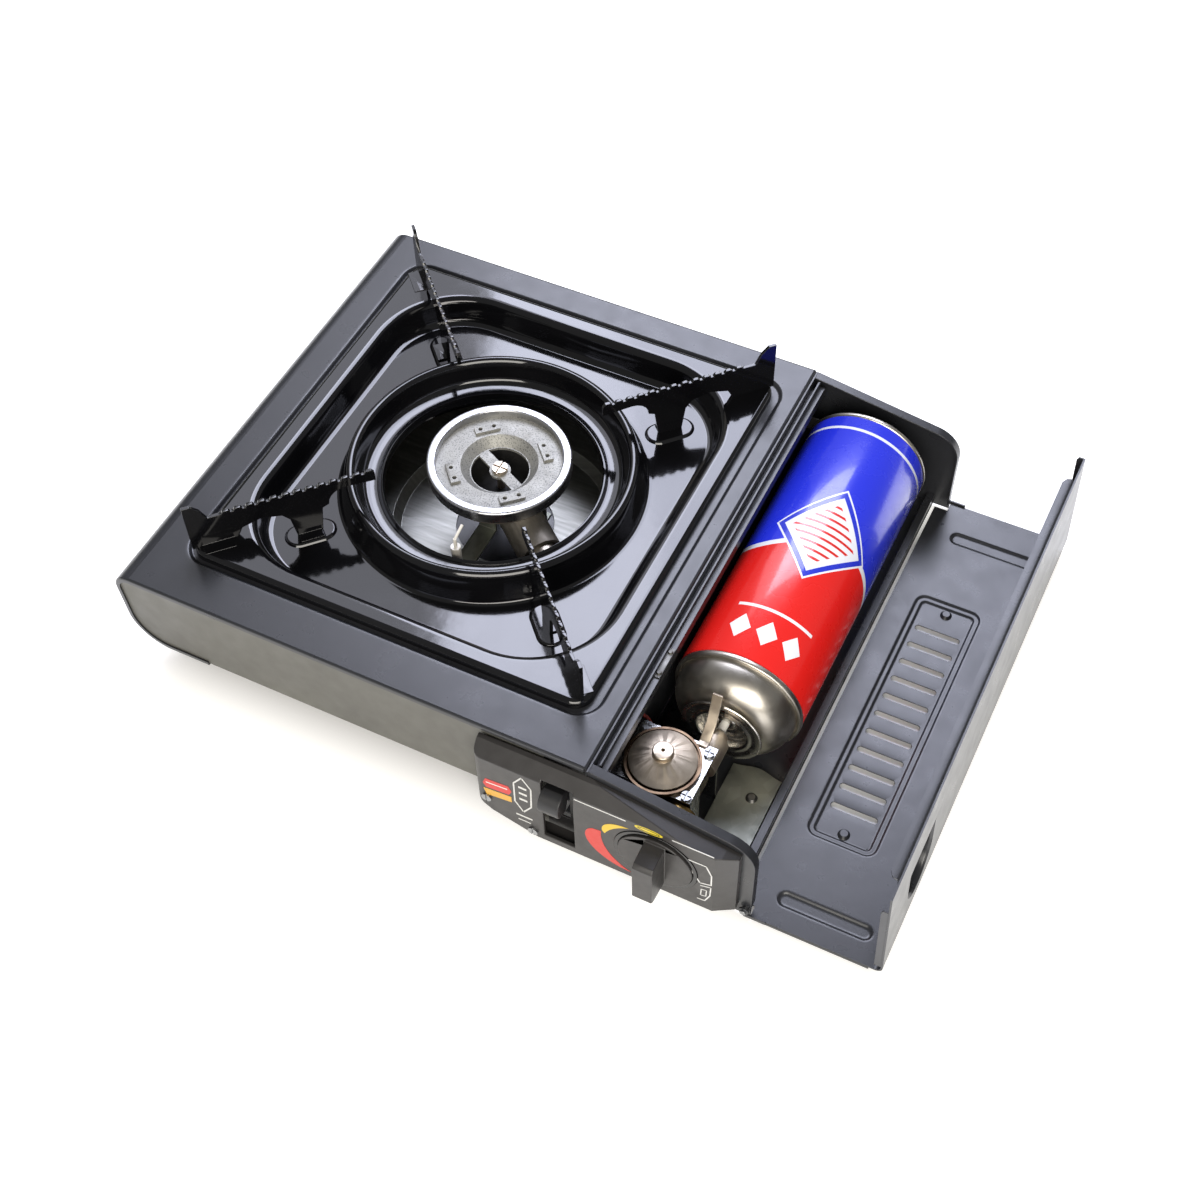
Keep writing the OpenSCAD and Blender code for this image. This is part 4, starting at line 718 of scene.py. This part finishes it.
def lid_piece():
    bm = make_lid()
    # normals face the cartridge side, so the sheet grows outwards
    face_towards(bm, Vector((-1, 0, 1)))
    obj = mesh_object("lid_pressing", bm, 50)
    settle(obj, "lid", "case_paint", MATERIALS["case_paint"], "cartridge_lid")
    thicken(obj, 0.95)
    # ends turned down, the leaf's ends turned in, and the hinge ears
    bm = bmesh.new()
    for y in (LID_Y0, LID_Y1 - 0.9):
        block(bm, (345.5, y, 0.7), (403, y + 0.9, LID_Z - 0.5))
    for y, high in ((LID_Y0, 52), (LID_Y1 - 0.9, LEAF_LEN - 1)):
        edge = [leaf(*p) for p in ((3, y, 1), (3, y, high), (0.6, y, high), (-0.4, y, high - 2), (-0.4, y, 1))]
        prism(bm, [(x, z) for x, _, z in edge], y, y + 0.9)
    for y in (LID_Y0 - 1, LID_Y1):
        rim = arc(HINGE_X, HINGE_Z, 2.6, -47, 270, 30)
        prism(bm, [(HINGE_X, 2.5), (352.2, 2.5), (352.2, 4.9)] + rim, y, y + 1)
    bmesh.ops.recalc_face_normals(bm, faces=bm.faces)
    ends = mesh_object("lid_ends", bm, 30)
    settle(ends, "lid", "case_paint", MATERIALS["case_paint"])
    soften(ends, 0.25)


lid_piece()

REPLACED = {"cartridge_lid", "drip_pan", "top_case", "cartridge_body", "cartridge_shoulder", "cartridge_base",
            "cartridge_collar"}

# ---------- marks on the control panel ----------


def make_marks():
    def mark(name, colour, outlines, depth=0.12):
        bm = bmesh.new()
        for outline in outlines:
            plate(bm, outline, PANEL_Y + 0.02, depth)
        bmesh.ops.recalc_face_normals(bm, faces=bm.faces)
        ink = finish(name + "_ink", (colour, colour), 4, (0.35, 0.45), ior=1.5, relief=((0.5, 0.004, EVEN),))
        settle(mesh_object(name, bm, 30), "stove", "panel_plastic", ink)

    def line(points, width):
        """thin strips along a line of points"""
        strips = []
        for (x0, z0), (x1, z1) in zip(points, points[1:]):
            run = math.hypot(x1 - x0, z1 - z0)
            ox, oz = (z0 - z1) / run * width / 2, (x1 - x0) / run * width / 2
            strips.append([(x0 - ox, z0 - oz), (x1 - ox, z1 - oz), (x1 + ox, z1 + oz), (x0 + ox, z0 + oz)])
        return strips

    def crescent(first, last, near, far, width, lean):
        """a sliver round the dial between two angles, its inner edge running from one radius to another"""
        inside, outside = [], []
        for i in range(25):
            part = i / 24
            turn, radius = math.radians(first + (last - first) * part), near + (far - near) * part
            for side, reach in ((inside, radius), (outside, radius + width * math.sin(math.pi * part ** lean))):
                side.append((DIAL_X + reach * math.cos(turn), DIAL_Z + reach * math.sin(turn)))
        return inside + outside[-2:0:-1]

    ellipse = [(OFF_X + 7.0 * math.cos(TAU * i / 32), OFF_Z + 1.9 * math.sin(TAU * i / 32)) for i in range(32)]
    yellow = [crescent(169, 127, 26.2, 22.6, 3.8, 0.7)]
    red = [crescent(169, 240, 28.2, 25.0, 8.8, 0.55)]
    lines = [[(258, 58.2), (284, 58.2), (284, 58.9), (258, 58.9)],
             [(307, 58.4), (327.4, 58.4), (327.4, 59.1), (307, 59.1)]]
    wedge = (line([(312, 47.6), (324.0, 47.8), (326.8, 41), (326.9, 32.6), (321.4, 30.8), (312, 47.6)], 0.7)
             + line([(321.6, 28.6), (326.8, 30.2), (326.6, 22.4), (324.2, 15.8), (320.4, 15.4)], 0.6)
             + line([(322.2, 25.4), (324.8, 26), (324.6, 20.4), (322, 19.6), (322.2, 25.4)], 0.5))
    strip = [[(209.6, 39.0), (211.2, 43.6), (223.4, 44.8), (225.0, 41.0), (223.4, 37.4), (211.2, 36.0)]]
    bar = [[(209.6, 34.6), (224.6, 36.2), (224.6, 31.4), (211.0, 29.4)]]
    badge = line([(226.6, 50.4), (231.0, 57.6), (235.6, 50.4), (235.0, 34.2), (230.6, 27.0), (226.4, 34.2),
                  (226.6, 50.4)], 0.8)
    for z in (48.6, 43.4, 38.2):
        badge += line([(229.0, z), (233.2, z)], 1.6)
    badge += line([(226.4, 22.6), (235.0, 22.6)], 1.2) + line([(227.4, 18.6), (234.0, 18.6)], 0.8)
    mark("dial_mark_yellow", "#d8b62c", yellow)
    mark("dial_mark_off", "#d9c233", [ellipse])
    mark("dial_mark_off_ring", "#26241c", line(
        [(OFF_X + 5.4 * math.cos(TAU * i / 24), OFF_Z + 1.1 * math.sin(TAU * i / 24)) for i in range(25)], 0.5), 0.16)
    mark("dial_mark_red", "#c9352b", red)
    mark("dial_lines", "#d9d9d6", lines + wedge)
    mark("label_red", "#c8322c", strip)
    mark("label_red_line", "#dedcd6", line([(211.4, 40.6), (222.8, 41.8)], 0.8), 0.16)
    mark("label_yellow", "#d6a23a", bar)
    mark("label_badge", "#cfcfcb", badge)


make_marks()

# ---------- the remaining nodes, with their own shapes ----------

EDGE_MM = {"control_panel": 0.9, "control_knob": 0.9, "dial_ring": 0.25, "lever_cap": 0.8, "bay_front_wall": 0.35,
           "bay_rear_wall": 0.35, "bay_floor": 0.35, "partition_wall": 0.3, "front_panel": 0.3}
# nodes whose finish is a shade off the rest of their slot; the lever work's near black is painted shade
OWN_FINISH = {"governor_bracket": "bracket", "lock_lever": "slot_shade_steel", "lever_pivot": "slot_shade_steel",
              "pusher_slide": "slot_shade_steel", "burner_screw": "governor_metal", "case_rivets": "dark_grey_steel"}
for node in frame["nodes"]:
    if node not in REPLACED:
        dressed(node, EDGE_MM.get(node, 0.22), material=MATERIALS.get(OWN_FINISH.get(node)))

# the burner's hollow is made nearly black: the faces that look inwards or up inside its rim
hollow = bpy.data.objects["burner_body_finished"].data
hollow.materials.append(MATERIALS["hollow_black"])
middle = at(BURNER_X, BURNER_Y, 0)
for face in hollow.polygons:
    out = Vector((face.center.x - middle.x, face.center.y - middle.y, 0))
    inside = out.length < BOWL_R / 1000 and BOWL_LOW / 1000 < face.center.z < BOWL_TOP / 1000
    if inside and face.normal.dot(out.normalized()) < 0.5:
        face.material_index = 1

# ---------- floor, backdrop and light ----------


def make_stage():
    bm = bmesh.new()
    corners = [(-4, -3), (4, -3), (4, 5), (-4, 5)]
    bm.faces.new([bm.verts.new((x, y, 0)) for x, y in corners])
    mesh = bpy.data.meshes.new("floor")
    bm.to_mesh(mesh)
    bm.free()
    floor = bpy.data.objects.new("floor", mesh)
    bpy.context.scene.collection.objects.link(floor)
    paper = bpy.data.materials.new("white_paper")
    paper.use_nodes = True
    tree = paper.node_tree
    shader = tree.nodes["Principled BSDF"]
    shader.inputs["Base Color"].default_value = linear("#f4f4f4")
    shader.inputs["Roughness"].default_value = 0.9
    path = add(tree, "ShaderNodeLightPath").outputs
    seen = maths(tree, "MAXIMUM", path["Is Camera Ray"], maths(tree, "MAXIMUM", path["Is Glossy Ray"],
                                                               path["Is Transmission Ray"]))
    # the paper glows more away from the stove, so that only what lies under it stays grey: that grey is partly the
    # lamps' shadow and partly painted shade from the dip in the glow
    half_w, half_d = 0.185, 0.116
    split = add(tree, "ShaderNodeSeparateXYZ", {0: add(tree, "ShaderNodeTexCoord").outputs["Object"]}).outputs
    past = [maths(tree, "SUBTRACT", maths(tree, "ABSOLUTE", split[i]), half) for i, half in ((0, half_w), (1, half_d))]
    beyond = maths(tree, "MAXIMUM", *past)
    glow = add(tree, "ShaderNodeEmission", {
        "Color": linear("#fffdf8"), "Strength": maths(tree, "ADD", spread(tree, beyond, 0.06, 0.66, 0.0, 0.028),
                                                spread(tree, beyond, 0.0, 0.4, 0.02, 0.25))})
    both = add(tree, "ShaderNodeAddShader", {0: shader.outputs[0], 1: glow.outputs[0]})
    pick = add(tree, "ShaderNodeMixShader", {0: seen, 1: shader.outputs[0], 2: both.outputs[0]})
    tree.links.new(pick.outputs[0], tree.nodes["Material Output"].inputs["Surface"])
    floor.data.materials.append(paper)


make_stage()


def softbox(name, place, target, width, height, watts, tint):
    lamp = bpy.data.lights.new(name, "AREA")
    lamp.shape, lamp.size, lamp.size_y = "RECTANGLE", width, height
    lamp.energy, lamp.color = watts, linear(tint)[:3]
    obj = bpy.data.objects.new(name, lamp)
    aim = (Vector(target) - Vector(place)).to_track_quat("-Z", "Y")
    obj.matrix_world = Matrix.Translation(place) @ aim.to_matrix().to_4x4()
    bpy.context.scene.collection.objects.link(obj)


softbox("rear_softbox", (-0.23, 1.02, 1.25), (0, 0, 0.05), 0.92, 0.85, 24, "#e6eaff")
softbox("left_softbox", (-0.82, 0.92, 1.25), (-0.1, 0, 0.05), 0.72, 0.9, 5, "#e4e6f4")
softbox("front_fill", (0.7, -1.6, 1.1), (0, 0, 0.05), 1.6, 1.2, 46, "#fffaf2")

world = bpy.data.worlds.new("studio")
world.use_nodes = True
bpy.context.scene.world = world
tree = world.node_tree
background = tree.nodes["Background"]
path = add(tree, "ShaderNodeLightPath").outputs
seen = maths(tree, "MAXIMUM", path["Is Camera Ray"], path["Is Transmission Ray"])
background.inputs["Color"].default_value = linear("#ffffff")
tree.links.new(spread(tree, seen, 0.22, 1.0, 0.0, 1.0), background.inputs["Strength"])
